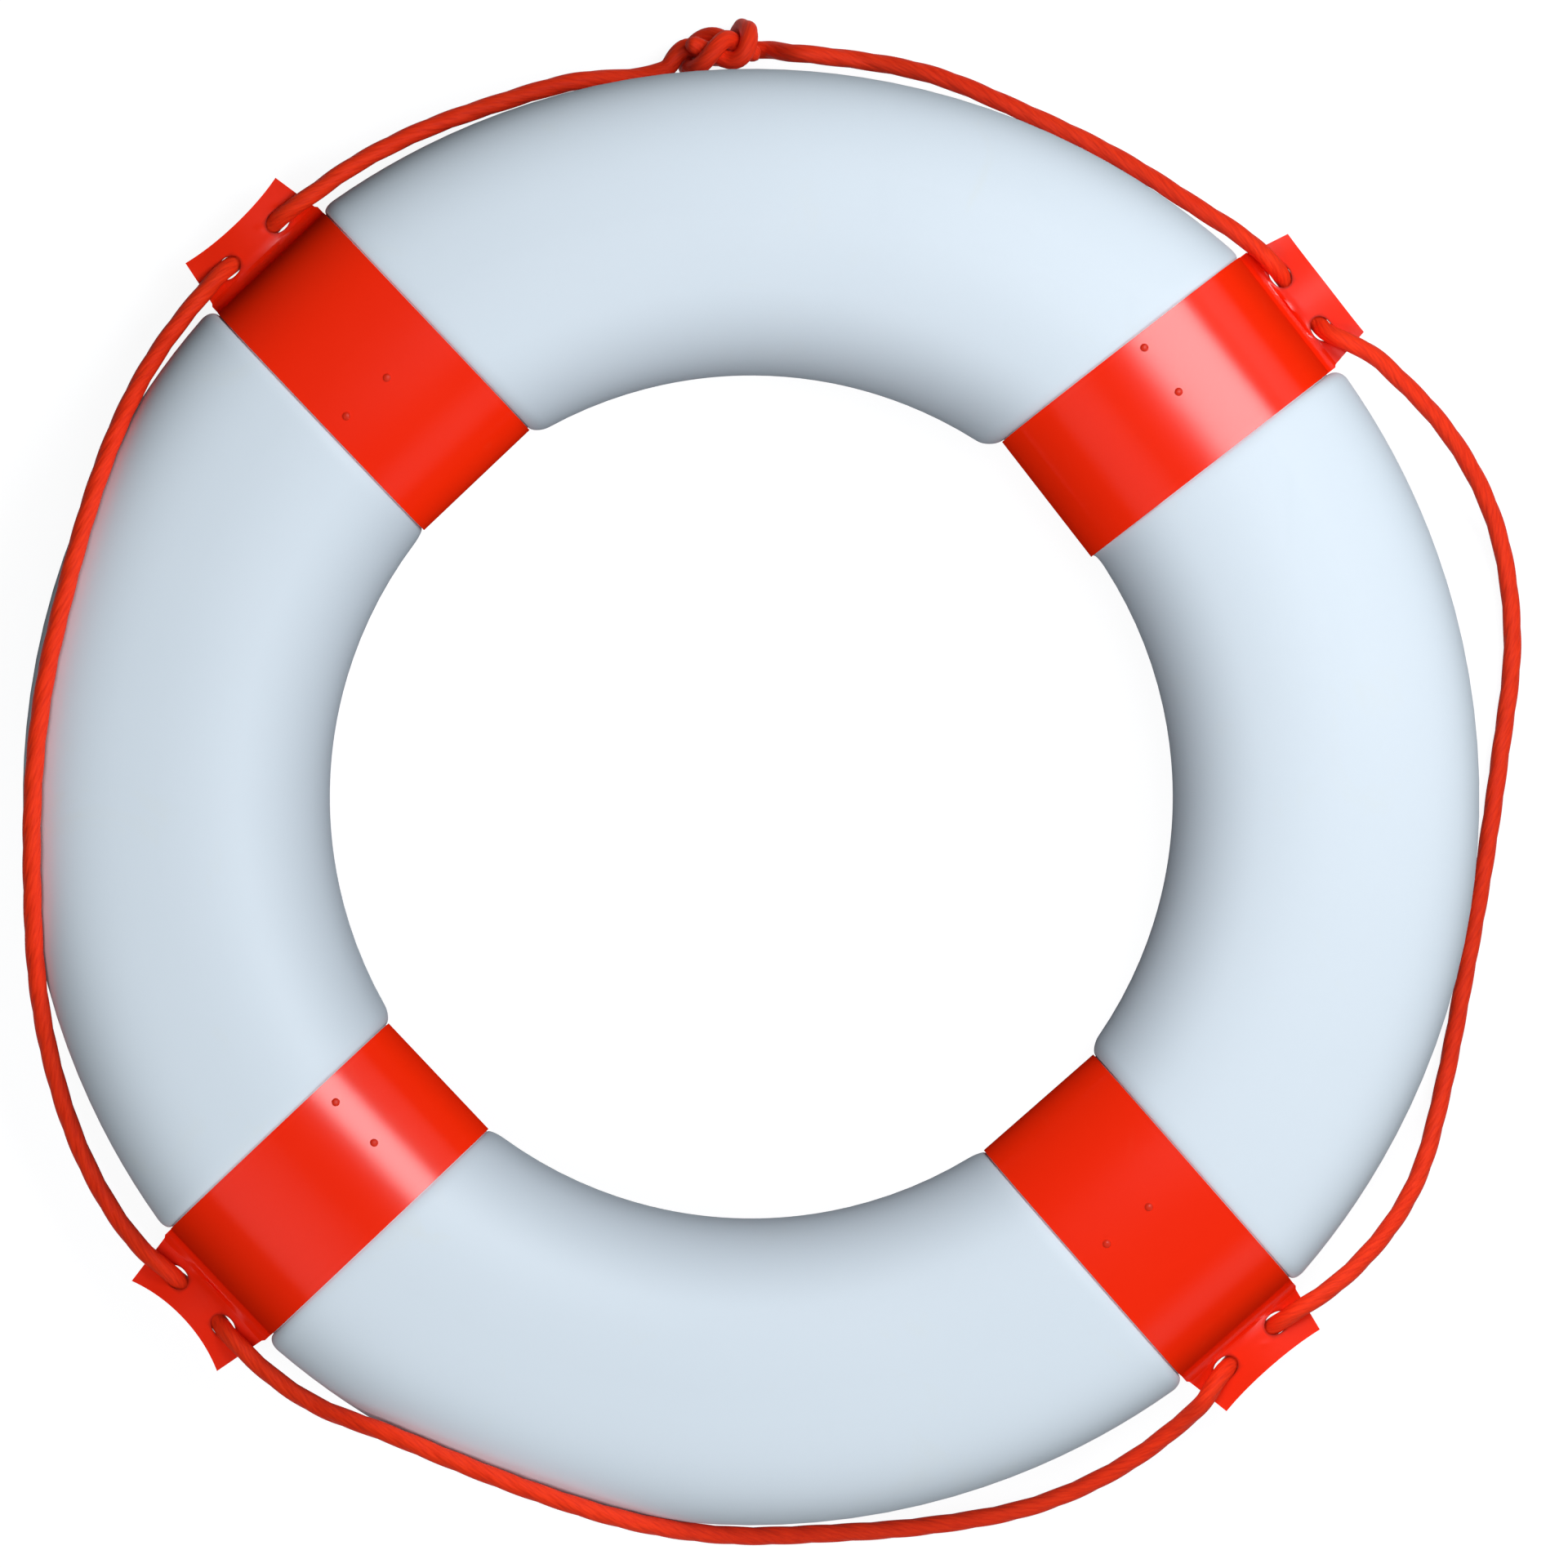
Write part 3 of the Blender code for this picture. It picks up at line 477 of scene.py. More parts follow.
def grained(tree, coarse, fine):
    return addNode(tree, "Group", {"Coarse scale": coarse, "Fine scale": fine}, node_tree=fineGrain)


def mixColours(share, first, second):
    return addNode(share.tree, "Mix", {0: share, 6: first, 7: second}, data_type="RGBA")[2]


def bumped(height, strength, distance):
    return addNode(height.tree, "Bump", {"Height": height, "Strength": strength, "Distance": distance})


def facing(tree):
    return addNode(tree, "LayerWeight", {"Blend": 0.5})["Facing"]


def shellFinish(tree):
    marks = handled(tree, 5.0, 16.0, 70.0)
    toned = mixColours(marks["Tone"], (0.70, 0.785, 0.845, 1), (0.745, 0.82, 0.875, 1))
    stained = mixColours(marks["Stain"] * 0.25, toned, (0.74, 0.77, 0.70, 1))
    # painted shade on the wall of the hole, darkest at the hole's edge and gone by 262 mm out
    spot = separated(addNode(tree, "TexCoord")["Object"])
    outwards = maths("SQRT", spot["X"] ** 2.0 + spot["Y"] ** 2.0)
    holeWallShade = spread(outwards, 1.0, 0.0, ringSize["holeRadius"], 262 * mm) ** 1.5
    return {"Base Color": mixColours(holeWallShade * 0.85, stained, (0.44, 0.50, 0.545, 1)),
            "Roughness": spread(marks["Scuff"], 0.4, 0.52),
            "Specular IOR Level": spread(facing(tree), 0.4, 0.0, 0.08, 0.4),
            "Normal": bumped(grained(tree, 260.0, 900.0), 0.12, 0.2 * mm)}


plugLook = {"marks": (40.0, 80.0, 200.0), "dark": (0.66, 0.74, 0.80, 1), "light": (0.72, 0.79, 0.85, 1),
            "roughness": (0.42, 0.6), "grain": (700.0, 2000.0)}
pinLook = {"marks": (200.0, 300.0, 400.0), "dark": (0.62, 0.022, 0.006, 1), "light": (0.78, 0.03, 0.008, 1),
           "roughness": (0.34, 0.5), "grain": (900.0, 2500.0)}


def satinFinish(tree, look):
    marks = handled(tree, *look["marks"])
    return {"Base Color": mixColours(marks["Tone"], look["dark"], look["light"]),
            "Roughness": spread(marks["Scuff"], *look["roughness"]),
            "Normal": bumped(grained(tree, *look["grain"]), 0.2, 0.1 * mm)}


def foamFinish(tree):
    place = addNode(tree, "TexCoord")["Object"]
    cells = addNode(tree, "TexVoronoi", {"Vector": place, "Scale": 900.0})["Distance"]
    tone = handled(tree, 12.0, 40.0, 80.0)["Tone"]
    return {"Base Color": mixColours(tone, (0.84, 0.78, 0.58, 1), (0.90, 0.86, 0.72, 1)),
            "Roughness": spread(cells, 0.8, 0.95), "Normal": bumped(cells, 0.6, 0.5 * mm)}


def bandFinish(tree):
    marks = handled(tree, 9.0, 30.0, 120.0)
    rim, welded = (addNode(tree, "Attribute", attribute_name=name)["Fac"] for name in ("rim", "welded"))
    toned = mixColours(marks["Tone"], (0.97, 0.019, 0.002, 1), (1.0, 0.027, 0.003, 1))
    rubbed = mixColours(marks["Scuff"] * 0.08, toned, (1.0, 0.10, 0.04, 1))
    # threads of the cloth just show through the coat
    weave = addNode(tree, "UVMap", uv_map="cloth")
    warp, weft = (addNode(tree, "TexWave", {"Vector": weave, "Scale": 420.0}, bands_direction=way)["Fac"]
                  for way in ("X", "Y"))
    height = (warp + weft) * 0.25 + grained(tree, 180.0, 800.0)
    # painted shade: the cloth darkens towards the rims of the holes, where the rope shades it
    return {"Base Color": mixColours(rim ** 3.0 * 0.75, rubbed, (0.30, 0.008, 0.003, 1)),
            "Roughness": spread(marks["Tone"], 0.17, 0.22) + welded * 0.2,
            "Specular IOR Level": spread(facing(tree), 0.75, 0.0, 0.06, 0.3) * spread(welded, 1.0, 0.45),
            "Normal": bumped(height, 0.06, 0.12 * mm)}


def ropeFinish(tree):
    # the attribute holds cosine and sine around the rope and the length along it
    spot = separated(addNode(tree, "Attribute", attribute_name="ropeFrame")["Vector"])
    around, along = maths("ARCTAN2", spot["Y"], spot["X"]), spot["Z"]
    yarn, ply = (maths("SINE", around * turns + along * pace)
                 for turns, pace in ((17.0, 900.0), (9.0, 150.0)))
    # loose fibres, drawn out along the rope
    fibres = noise(combined(spot["X"] * 4.0, spot["Y"] * 4.0, along * 130.0), 1.0, 3.0)
    height = yarn * 0.35 + (ply * 0.5 + fibres)
    tone = handled(tree, 14.0, 60.0, 150.0)["Tone"]
    base = mixColours(tone, (0.98, 0.034, 0.006, 1), (1.0, 0.055, 0.012, 1))
    streaked = mixColours(spread(fibres, 0.35, 0.0, 0.32, 0.58), base, (0.66, 0.012, 0.004, 1))
    # painted shade: darker where the rope's surface lies low, in the grooves between strands and yarns
    grooveShade = spread(height, 0.3, 0.0, -0.6, 0.7)
    return {"Base Color": mixColours(grooveShade, streaked, (0.62, 0.010, 0.004, 1)),
            "Roughness": spread(fibres, 0.5, 0.7), "Specular IOR Level": 0.25,
            "Normal": bumped(height, 0.35, 0.2 * mm)}


def newFinish(name, build):
    # material whose shader gets, socket by socket, what build gives for it
    finish = bpy.data.materials.new(name)
    finish.use_nodes = True
    shader = finish.node_tree.nodes["Principled BSDF"]
    for key, value in build(finish.node_tree).items():
        wire(value, shader.inputs[key])
    return finish


# Geometry trees

def position(tree):
    return separated(addNode(tree, "GeometryNodeInputPosition"))


def angleAround(tree):
    spot = position(tree)
    return maths("ARCTAN2", spot["Y"], spot["X"])


def captured(geometry, label, value):
    made = geometry.tree.nodes.new("GeometryNodeCaptureAttribute")
    made.capture_items.new("FLOAT", label)
    wire(geometry, made.inputs["Geometry"])
    wire(value, made.inputs[label])
    return Output(made)


def ropeTree():
    tree, given, out = newGroup("laid rope", "GeometryNodeTree", {
        "Line": "Geometry", "Radius": ropeSize["radius"], "Strand radius": ropeSize["strandRadius"],
        "Strands": ropeSize["strands"], "Lay": ropeSize["lay"], "Sides": ropeSize["sides"],
        "Step": ropeSize["step"]}, {"Rope": "Geometry"})
    line = addNode(tree, "GeometryNodeResampleCurve", {"Curve": given["Line"], "Length": given["Step"]},
                   mode="LENGTH")
    along = addNode(tree, "GeometryNodeSplineParameter")["Length"]
    tilt = along * (2 * pi) / given["Lay"]
    twisted = addNode(tree, "GeometryNodeSetCurveTilt", {"Curve": line, "Tilt": tilt})
    axis = captured(twisted, "Along", along)

    # outline of the strands lying together, as one circle drawn in between them
    circle = addNode(tree, "GeometryNodeCurvePrimitiveCircle", {"Resolution": given["Sides"], "Radius": 1.0})
    around = angleAround(tree)
    share = 2 * pi / given["Strands"]
    fromCrest = maths("WRAP", around, share * 0.5, share * -0.5)
    centre = given["Radius"] - given["Strand radius"]
    reach = centre * maths("COSINE", fromCrest) + maths(
        "SQRT", given["Strand radius"] ** 2.0 - (centre * maths("SINE", fromCrest)) ** 2.0)
    shaped = addNode(tree, "VectorMath", {0: addNode(tree, "GeometryNodeInputPosition"), "Scale": reach},
                     operation="SCALE")
    outline = captured(addNode(tree, "GeometryNodeSetPosition", {"Geometry": circle, "Position": shaped}),
                       "Around", around)

    tube = addNode(tree, "GeometryNodeCurveToMesh", {"Curve": axis, "Profile Curve": outline})
    turn = outline["Around"]
    ropeFrame = combined(maths("COSINE", turn), maths("SINE", turn), axis["Along"])
    named = addNode(tree, "GeometryNodeStoreNamedAttribute", {
        "Geometry": tube, "Name": "ropeFrame", "Value": ropeFrame}, data_type="FLOAT_VECTOR", domain="POINT")
    wire(named, out["Rope"])
    return tree


# Grab line: one laid rope along the whole line, then cut where its lengths change body

# name, band and side that it leaves, body of its free end, CAD pieces it stands for besides the tab's own
ropeLengths = (
    ("grabLineTopRight", "top_right", 1, "loop_top", ("grab_line_top_right", "knot_right_bight")),
    ("grabLineRightUpper", "top_right", -1, "loop_right", ("grab_line_right",)),
    ("grabLineRightLower", "bottom_right", 1, "loop_right", ("grab_line_right",)),
    ("grabLineBottomRight", "bottom_right", -1, "loop_bottom", ("grab_line_bottom",)),
    ("grabLineBottomLeft", "bottom_left", 1, "loop_bottom", ("grab_line_bottom",)),
    ("grabLineLeftLower", "bottom_left", -1, "loop_left", ("grab_line_left",)),
    ("grabLineLeftUpper", "top_left", 1, "loop_left", ("grab_line_left",)),
    ("grabLineTopLeft", "top_left", -1, "loop_top", ("grab_line_top_left", "knot_left_bight")),
)


def ropeLength(name, rings, frames, finish, meltedEnd):
    # closes some rings of the rope into one piece, with flat ends inside and a melted one at a tail
    count, sides = rings.shape[:2]
    centres = rings.mean(axis=1)
    for k, shrink in enumerate(ropeSize["meltedShare"] if meltedEnd is not None else ()):
        i = k if meltedEnd == 0 else count - 1 - k
        rings[i] = centres[i] + (rings[i] - centres[i]) * shrink
    faces = []
    for low in range(0, (count - 1) * sides, sides):
        for j in range(sides):
            k = (j + 1) % sides
            faces.append((low + j, low + k, low + sides + k, low + sides + j))
    faces.append(tuple(range(sides))[::-1])
    faces.append(tuple(range((count - 1) * sides, count * sides)))
    mesh = bpy.data.meshes.new(name)
    mesh.from_pydata(rings.reshape(-1, 3).tolist(), [], faces)
    stored = mesh.attributes.new("ropeFrame", "FLOAT_VECTOR", "POINT")
    stored.data.foreach_set("vector", frames.reshape(-1).astype(np.float32))
    return piece(name, turnedOut(mesh, smoothAngle=60), finish, None), centres


def makeGrabLine():
    finish = newFinish("red twisted rope", ropeFinish)
    line, cuts = wholeLine()
    mesh = evaluated(looseCurve("grabLine", line), ropeTree())
    points = np.empty(len(mesh.vertices) * 3)
    mesh.vertices.foreach_get("co", points)
    frames = np.empty(len(mesh.vertices) * 3, np.float32)
    mesh.attributes["ropeFrame"].data.foreach_get("vector", frames)
    rings, frames = (values.reshape(-1, ropeSize["sides"], 3) for values in (points, frames))
    along = lengthsAlong(rings.mean(axis=1))
    ends = [0, *(int(np.searchsorted(along, cut)) for cut in cuts), len(rings) - 1]
    for i, (name, bandName, side, body, free) in enumerate(ropeLengths):
        melted = {0: 0, len(ropeLengths) - 1: 1}.get(i)
        start, end = ends[i], ends[i + 1]
        made, path = ropeLength(name, rings[start:end + 1].copy(), frames[start:end + 1], finish, melted)
        point, away = pivot(bands[bandName], side)
        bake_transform(made)
        nodes = (*free, "grab_line_through_" + bandName)
        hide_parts(*nodes)
    print(f"grab line: {along[-1]:.2f} m of rope in {len(ropeLengths)} lengths")


# Shell: the section swept round the ring, pressed in under each band

shellDetail = {"sectionPoints": 128, "outlineRadius": 50 * mm, "shoulderSteps": 9, "floorSteps": 4,
               "arcSteps": 34, "alignFull": 16.5 * deg, "alignEnd": 44 * deg}
port = {"radius": 10 * mm, "angle": 268, "sectionAngle": 225, "pocket": 2 * mm, "open": 3 * mm, "sides": 48}
plug = {"proud": 0.6 * mm, "bottomGap": 0.1 * mm, "sides": 64,
        "slotLength": 11 * mm, "slotWidth": 1.8 * mm, "slotDepth": 1.1 * mm, "slotTop": 1 * mm,
        # rim of its face: out from its edge and up from its top, in millimetres
        "rim": ((0, -0.9), (-0.3, -0.3), (-1, 0), (-2.2, 0), (-2.6, -0.3))}


def alignGroup():
    # turns the sweep's lines until they run straight along a band, near that band
    tree, given, out = newGroup("lines along the band", "GeometryNodeTree", dict.fromkeys(
        ("Angle", "Radius", "Direction", "Middle radius"), 0.0), {"Turn": "Float"})
    away = maths("WRAP", given["Angle"] - given["Direction"], pi, -pi)
    reached = maths("ARCSINE", given["Middle radius"] * maths("SINE", away) / given["Radius"])
    share = spread(maths("ABSOLUTE", away), 1.0, 0.0, shellDetail["alignFull"], shellDetail["alignEnd"],
                   interpolation_type="SMOOTHSTEP")
    wire(share * (reached - away), out["Turn"])
    return tree


def waistGroup():
    # shift of a point of the sweep onto a band's waist
    tree, given, out = newGroup("waist under a band", "GeometryNodeTree", dict.fromkeys((
        "Angle", "Radius", "Section x", "Section z", "Direction", "Offset", "Inner half", "Outer half",
        "Crown radius", "Face depth", "Floor half width", "Shoulder"), 0.0), {"Shift": "Vector"})
    away = given["Angle"] - given["Direction"]
    x, y = (given["Radius"] * maths(kind, away) for kind in ("COSINE", "SINE"))
    past = maths("ABSOLUTE", y - given["Offset"]) - given["Floor half width"]
    rest = 1.0 - addNode(tree, "Clamp", {"Value": past / given["Shoulder"]})
    pressed = (1.0 - maths("SQRT", 1.0 - rest * rest)) * maths("GREATER_THAN", x, 0.0)
    outer = maths("GREATER_THAN", given["Section x"], 0.0)
    half = outer * given["Outer half"] + (1.0 - outer) * given["Inner half"]
    inwards = pressed * (given["Crown radius"] + half * given["Section x"] - x)
    down = pressed * (given["Section z"] * (given["Face depth"] * -1.0))
    along, across = (maths(kind, given["Direction"]) for kind in ("COSINE", "SINE"))
    wire(combined(inwards * along, inwards * across, down), out["Shift"])
    return tree


def shellTree():
    tree, given, out = newGroup("ring shell", "GeometryNodeTree", {
        "Ring line": "Geometry", "Hole radius": ringSize["holeRadius"],
        "Ring radius": ringSize["outerRadius"], "Crown radius": ringSize["crownRadius"],
        "Thickness": ringSize["thickness"], "Inner fullness": ringSize["innerFullness"],
        "Outer fullness": ringSize["outerFullness"], "Section points": shellDetail["sectionPoints"]},
        {"Shell": "Geometry"})
    ringLine = captured(given["Ring line"], "Angle", angleAround(tree))
    circle = addNode(tree, "GeometryNodeCurvePrimitiveCircle", {
        "Resolution": given["Section points"], "Radius": shellDetail["outlineRadius"]})
    outline = captured(circle, "Turn", angleAround(tree))
    swept = addNode(tree, "GeometryNodeCurveToMesh", {"Curve": ringLine, "Profile Curve": outline})

    cosine, sine = (maths(kind, outline["Turn"]) for kind in ("COSINE", "SINE"))
    outer = maths("GREATER_THAN", cosine, 0.0)
    inner = 1.0 - outer
    exponent = 2.0 / (outer * given["Outer fullness"] + inner * given["Inner fullness"])
    sectionX, sectionZ = (maths("SIGN", value) * maths("ABSOLUTE", value) ** exponent
                          for value in (cosine, sine))
    crown = given["Crown radius"]
    half = outer * (given["Ring radius"] - crown) + inner * (crown - given["Hole radius"])
    radius = crown + half * sectionX
    middle = (given["Ring radius"] + given["Hole radius"]) * 0.5

    align, waist = alignGroup(), waistGroup()
    angle = ringLine["Angle"]
    for band in bands.values():
        angle = angle + addNode(tree, "GeometryNodeGroup", {
            "Angle": ringLine["Angle"], "Radius": radius, "Direction": band.direction,
            "Middle radius": middle}, node_tree=align)
    height = given["Thickness"] * 0.5 * (sectionZ + 1.0)
    place = combined(radius * maths("COSINE", angle), radius * maths("SINE", angle), height)
    for band in bands.values():
        press = addNode(tree, "GeometryNodeGroup", {
            "Angle": angle, "Radius": radius, "Section x": sectionX, "Section z": sectionZ,
            "Direction": band.direction, "Offset": band.offset, "Crown radius": crown,
            "Inner half": ringSize["crownRadius"] - band.inner,
            "Outer half": band.outer - ringSize["crownRadius"],
            "Face depth": waistSize["faceDepth"], "Shoulder": waistSize["shoulder"],
            "Floor half width": floorHalf}, node_tree=waist)
        place = addNode(tree, "VectorMath", {0: place, 1: press}, operation="ADD")
    wire(addNode(tree, "GeometryNodeSetPosition", {"Geometry": swept, "Position": place}), out["Shell"])
    return tree


def ringLineAngles():
    # polar angles of the sweep's lines: close together on the shoulders, wider apart between bands
    steps, arcSteps = shellDetail["shoulderSteps"], shellDetail["arcSteps"]
    climb = [floorHalf + waistSize["shoulder"] * (1 - cos(pi / 2 * i / steps))
             for i in range(steps + 1)]
    rows = [-c for c in climb[::-1]]
    rows += list(np.linspace(-floorHalf, floorHalf, shellDetail["floorSteps"] + 2)[1:-1]) + climb
    angles = []
    ordered = list(bands.values())
    for band, after in zip(ordered, ordered[1:] + ordered[:1]):
        own = [band.direction + asin((band.offset + row) / middleRadius) for row in rows]
        end = after.direction + asin((after.offset - climb[-1]) / middleRadius)
        gap = (end - own[-1]) % (2 * pi)
        angles += own + [own[-1] + gap * i / arcSteps for i in range(1, arcSteps)]
    return angles


def portMatrix():
    before, after = (sectionPoint(ringSize["holeRadius"], ringSize["outerRadius"], halfThickness, 0,
                                  (port["sectionAngle"] + step) * deg) for step in (0, 1))
    normal = Vector((after[1] - before[1], 0, before[0] - after[0])).normalized()
    turn = Matrix.Rotation(port["angle"] * deg, 4, "Z")
    place = turn @ Vector(((before[0] + after[0]) / 2, 0, (before[1] + after[1]) / 2 + halfThickness))
    return Matrix.Translation(place) @ (turn @ normal).to_track_quat("Z", "Y").to_matrix().to_4x4()


def lathed(profile, sides, matrix):
    # solid of revolution about Z from radius and height, closed on the axis at both ends
    shape = bmesh.new()
    ends = [shape.verts.new((0, 0, height)) for _, height in (profile[0], profile[-1])]
    turns = [2 * pi * i / sides for i in range(sides)]
    rows = [[shape.verts.new((r * cos(t), r * sin(t), z)) for t in turns] for r, z in profile[1:-1]]
    for i in range(sides):
        j = (i + 1) % sides
        shape.faces.new((ends[0], rows[0][i], rows[0][j]))
        for low, high in zip(rows, rows[1:]):
            shape.faces.new((low[i], high[i], high[j], low[j]))
        shape.faces.new((rows[-1][j], rows[-1][i], ends[1]))
    shape.transform(matrix)
    return turnedOut(meshFrom(shape, "lathed"))


def cutBy(mesh, cutter):
    # mesh with another closed mesh taken out of it
    target, other = placed("target", mesh), placed("cutter", cutter)
    modifier = target.modifiers.new("cut", "BOOLEAN")
    modifier.operation, modifier.solver, modifier.object = "DIFFERENCE", "EXACT", other
    return plainMesh(target, other)


def boxMesh(low, high, matrix):
    shape = bmesh.new()
    bmesh.ops.create_cube(shape, size=1)
    low, high = Vector(low), Vector(high)
    shape.transform(matrix @ Matrix.Translation((low + high) / 2) @ Matrix.Diagonal((*(high - low), 1)))
    return meshFrom(shape, "box")


def makeShell():
    radius = ringSize["crownRadius"]
    line = [(radius * cos(a), radius * sin(a), 0) for a in ringLineAngles()]
    mesh = turnedOut(evaluated(looseCurve("ringLine", line, closed=True), shellTree()), smoothAngle=60)
    bottom, top = -port["pocket"], port["open"]
    pocket = lathed(((0, bottom), (port["radius"], bottom), (port["radius"], top), (0, top)), port["sides"],
                    portMatrix())
    finish = newFinish("white polyethylene", shellFinish)
    made = piece("ringShell", cutBy(mesh, pocket), finish, "ring")
    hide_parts("shell")
    print(f"shell: {len(made.data.polygons)} faces")


def makePlug():
    radius, bottom, top = port["radius"] - touchGap, plug["bottomGap"] - port["pocket"], plug["proud"]
    rim = [(radius + out * mm, top + up * mm) for out, up in plug["rim"]]
    matrix = portMatrix()
    plain = lathed(((0, bottom), (radius, bottom), *rim, (0, rim[-1][1])), plug["sides"], matrix)
    length, width = plug["slotLength"] / 2, plug["slotWidth"] / 2
    slot = boxMesh((-length, -width, top - plug["slotDepth"]), (length, width, top + plug["slotTop"]), matrix)
    finish = newFinish("white polyethylene plug", lambda tree: satinFinish(tree, plugLook))
    made = piece("portPlug", turnedOut(cutBy(plain, slot), smoothAngle=30), finish, "ring")
    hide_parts("filling_plug")
    print(f"plug: {len(made.data.polygons)} faces")


# Bands: one strip of cloth from tab tip to tab tip round the waist, with the holes left out, then thickened

# short folds at each tab's root: distance out from the root, place across, turn in degrees, length, height
folds = {
    "top_right": ((3.5, -6, 4, 13, 0.5), (5.2, 3, -6, 10, 0.4), (6, -13, 10, 7, 0.45), (4.6, 17, -8, 6, 0.5),
                  (7.2, 24, 30, 5, 0.4), (6.8, -24, -25, 5, 0.4)),
    "top_left": ((4, 10, 12, 9, 0.5), (6.5, 17, -20, 5, 0.5), (5, -17, 8, 6, 0.45), (17, -8, 60, 5, 0.35),
                 (19, -22, 30, 5, 0.4), (4.4, -4, 0, 10, 0.35)),
    "bottom_left": ((4, 12, 6, 8, 0.45), (6, -16, -12, 7, 0.45), (12, 2, 15, 7, 0.3), (5, -2, 0, 12, 0.35)),
    "bottom_right": ((5.5, 20, 20, 5, 0.5), (6.5, -18, -30, 5, 0.5), (4.2, 4, 0, 14, 0.35),
                     (17, 6, 35, 5, 0.35)),
}
foldHalfWidth = 1.1


def foldHeight(band, out, across):
    total = 0
    for u, y, turn, length, height in folds[band.name]:
        du, dy, a = out / mm - u, across / mm - y, turn * deg
        lengthwise = dy * cos(a) + du * sin(a)
        crosswise = du * cos(a) - dy * sin(a)
        total += height * exp(-((lengthwise / (length / 2)) ** 2) - (crosswise / foldHalfWidth) ** 2)
    return total * mm


def bandPath():
    # (kind, value, side) along the strip; value: row of a tab, share of the root's bend, or turn of the strap
    rows, bend, count = tabSize["rows"], bandSize["bendRows"], bandSize["strapRows"]
    low = (tabSize["rootBend"] + bandSize["thickness"] / 2) / waistHalfHeight
    first = asin(low ** (ringSize["outerFullness"] / 2))
    path = [("tab", row, 1) for row in range(rows, 0, -1)]
    path += [("bend", 1 - i / bend, 1) for i in range(bend)]
    path += [("strap", first + (2 * pi - 2 * first) * i / count, 1) for i in range(count + 1)]
    path += [("bend", (i + 1) / bend, -1) for i in range(bend)]
    return path + [("tab", row, -1) for row in range(1, rows + 1)]


def plainSpot(band, row, column):
    # out from the ring's middle and across: where the tab's grid lines would cross without holes
    across = 2 * column / bandSize["columns"] - 1
    root = band.outside - bandSize["thickness"] / 2 + tabSize["rootBend"]
    tip = band.outside + tabSize["reach"] + band.cornerFlare * across**2
    x = root + row / tabSize["rows"] * (tip - root)
    along = max(0, (x - band.outside) / (tip - band.outside))
    return x, across * (bandSize["width"] / 2 * (1 - along) + tabSize["tipWidth"] / 2 * along), along


def holeCells(band):
    # grid crossing nearest to the middle of each hole
    crossings = [(row, column) for row in range(tabSize["rows"]) for column in range(bandSize["columns"])]
    middles = [(band.holeX, side * holeHalf) for side in (-1, 1)]
    return [min(crossings, key=lambda spot: dist(plainSpot(band, *spot)[:2], middle))
            for middle in middles]


def aroundHole(cell, row, column):
    # 1 on the square of crossings that becomes the rim, with the turn round the hole
    p, q = (row - cell[0]) / tabSize["holeRows"], (column - cell[1]) / tabSize["holeColumns"]
    return max(abs(p), abs(q)), atan2(q, p)


def tabPoint(band, cells, row, column, side):
    x, y, along = plainSpot(band, row, column)
    for cell, hand in zip(cells, (-1, 1)):
        ring, turn = aroundHole(cell, row, column)
        keep = ramp(ring, 1, tabSize["gridBend"])
        roundX = band.holeX + ring * tabSize["holeWidth"] / 2 * cos(turn)
        roundY = hand * holeHalf + ring * tabSize["holeLength"] / 2 * sin(turn)
        x, y = roundX + keep * (x - roundX), roundY + keep * (y - roundY)
    lift = tabSize["arch"] * ramp(along, 0, tabSize["archFrom"])
    crest = lift * cos(pi * y / tabSize["holeSpacing"])
    fold = foldHeight(band, x - band.outside, y)
    return Vector((x, band.offset + y, crest + side * (bandSize["thickness"] / 2 + tabSize["plyGap"]) + fold))


def strapPoint(band, kind, value, side, across):
    # middle of the cloth at one place; across runs from -1 to 1
    half, bend = bandSize["thickness"] / 2, tabSize["rootBend"]
    y = band.offset + across * bandSize["width"] / 2
    if kind == "strap":
        x, z = band.waistPoint(touchGap + half, value)
        return Vector((x, y, z))
    turn = value * pi / 2
    return Vector((band.outside - half + bend * (1 - cos(turn)), y,
                   side * (half + tabSize["plyGap"] + bend * (1 - sin(turn)))))


def clothMesh(band):
    path, cells, columns = bandPath(), holeCells(band), bandSize["columns"]
    rows = [[tabPoint(band, cells, value, j, side) if kind == "tab"
             else strapPoint(band, kind, value, side, 2 * j / columns - 1) for j in range(columns + 1)]
            for kind, value, side in path]
    along = lengthsAlong(np.array([row[columns // 2] for row in rows]))
    shape = bmesh.new()
    cloth = shape.loops.layers.uv.new("cloth")
    # rim: nearness to a hole's rim, which the finish darkens as painted shade; welded: share of a tab that is
    # welded
    rim, welded = shape.verts.layers.float.new("rim"), shape.verts.layers.float.new("welded")
    verts = [[shape.verts.new(point) for point in row] for row in rows]
    for (kind, value, _), row in zip(path, verts):
        for j, vert in enumerate(row if kind == "tab" else ()):
            ring = min(aroundHole(cell, value, j)[0] for cell in cells)
            vert[rim] = min(1, max(0, (tabSize["gridBend"] - ring) / (tabSize["gridBend"] - 1)))
            vert[welded] = min(1, value / tabSize["weldRows"])
    for i in range(len(rows) - 1):
        for j in range(columns):
            corners = ((i, j), (i + 1, j), (i + 1, j + 1), (i, j + 1))
            if path[i][0] == path[i + 1][0] == "tab" and any(
                    all(aroundHole(cell, path[u][1], v)[0] <= 1 for u, v in corners) for cell in cells):
                continue
            face = shape.faces.new([verts[u][v] for u, v in corners])
            for loop, (u, v) in zip(face.loops, corners):
                loop[cloth].uv = (along[u], v * bandSize["width"] / columns)
    bmesh.ops.delete(shape, geom=[v for v in shape.verts if not v.link_faces], context="VERTS")
    return meshFrom(shape, "cloth")


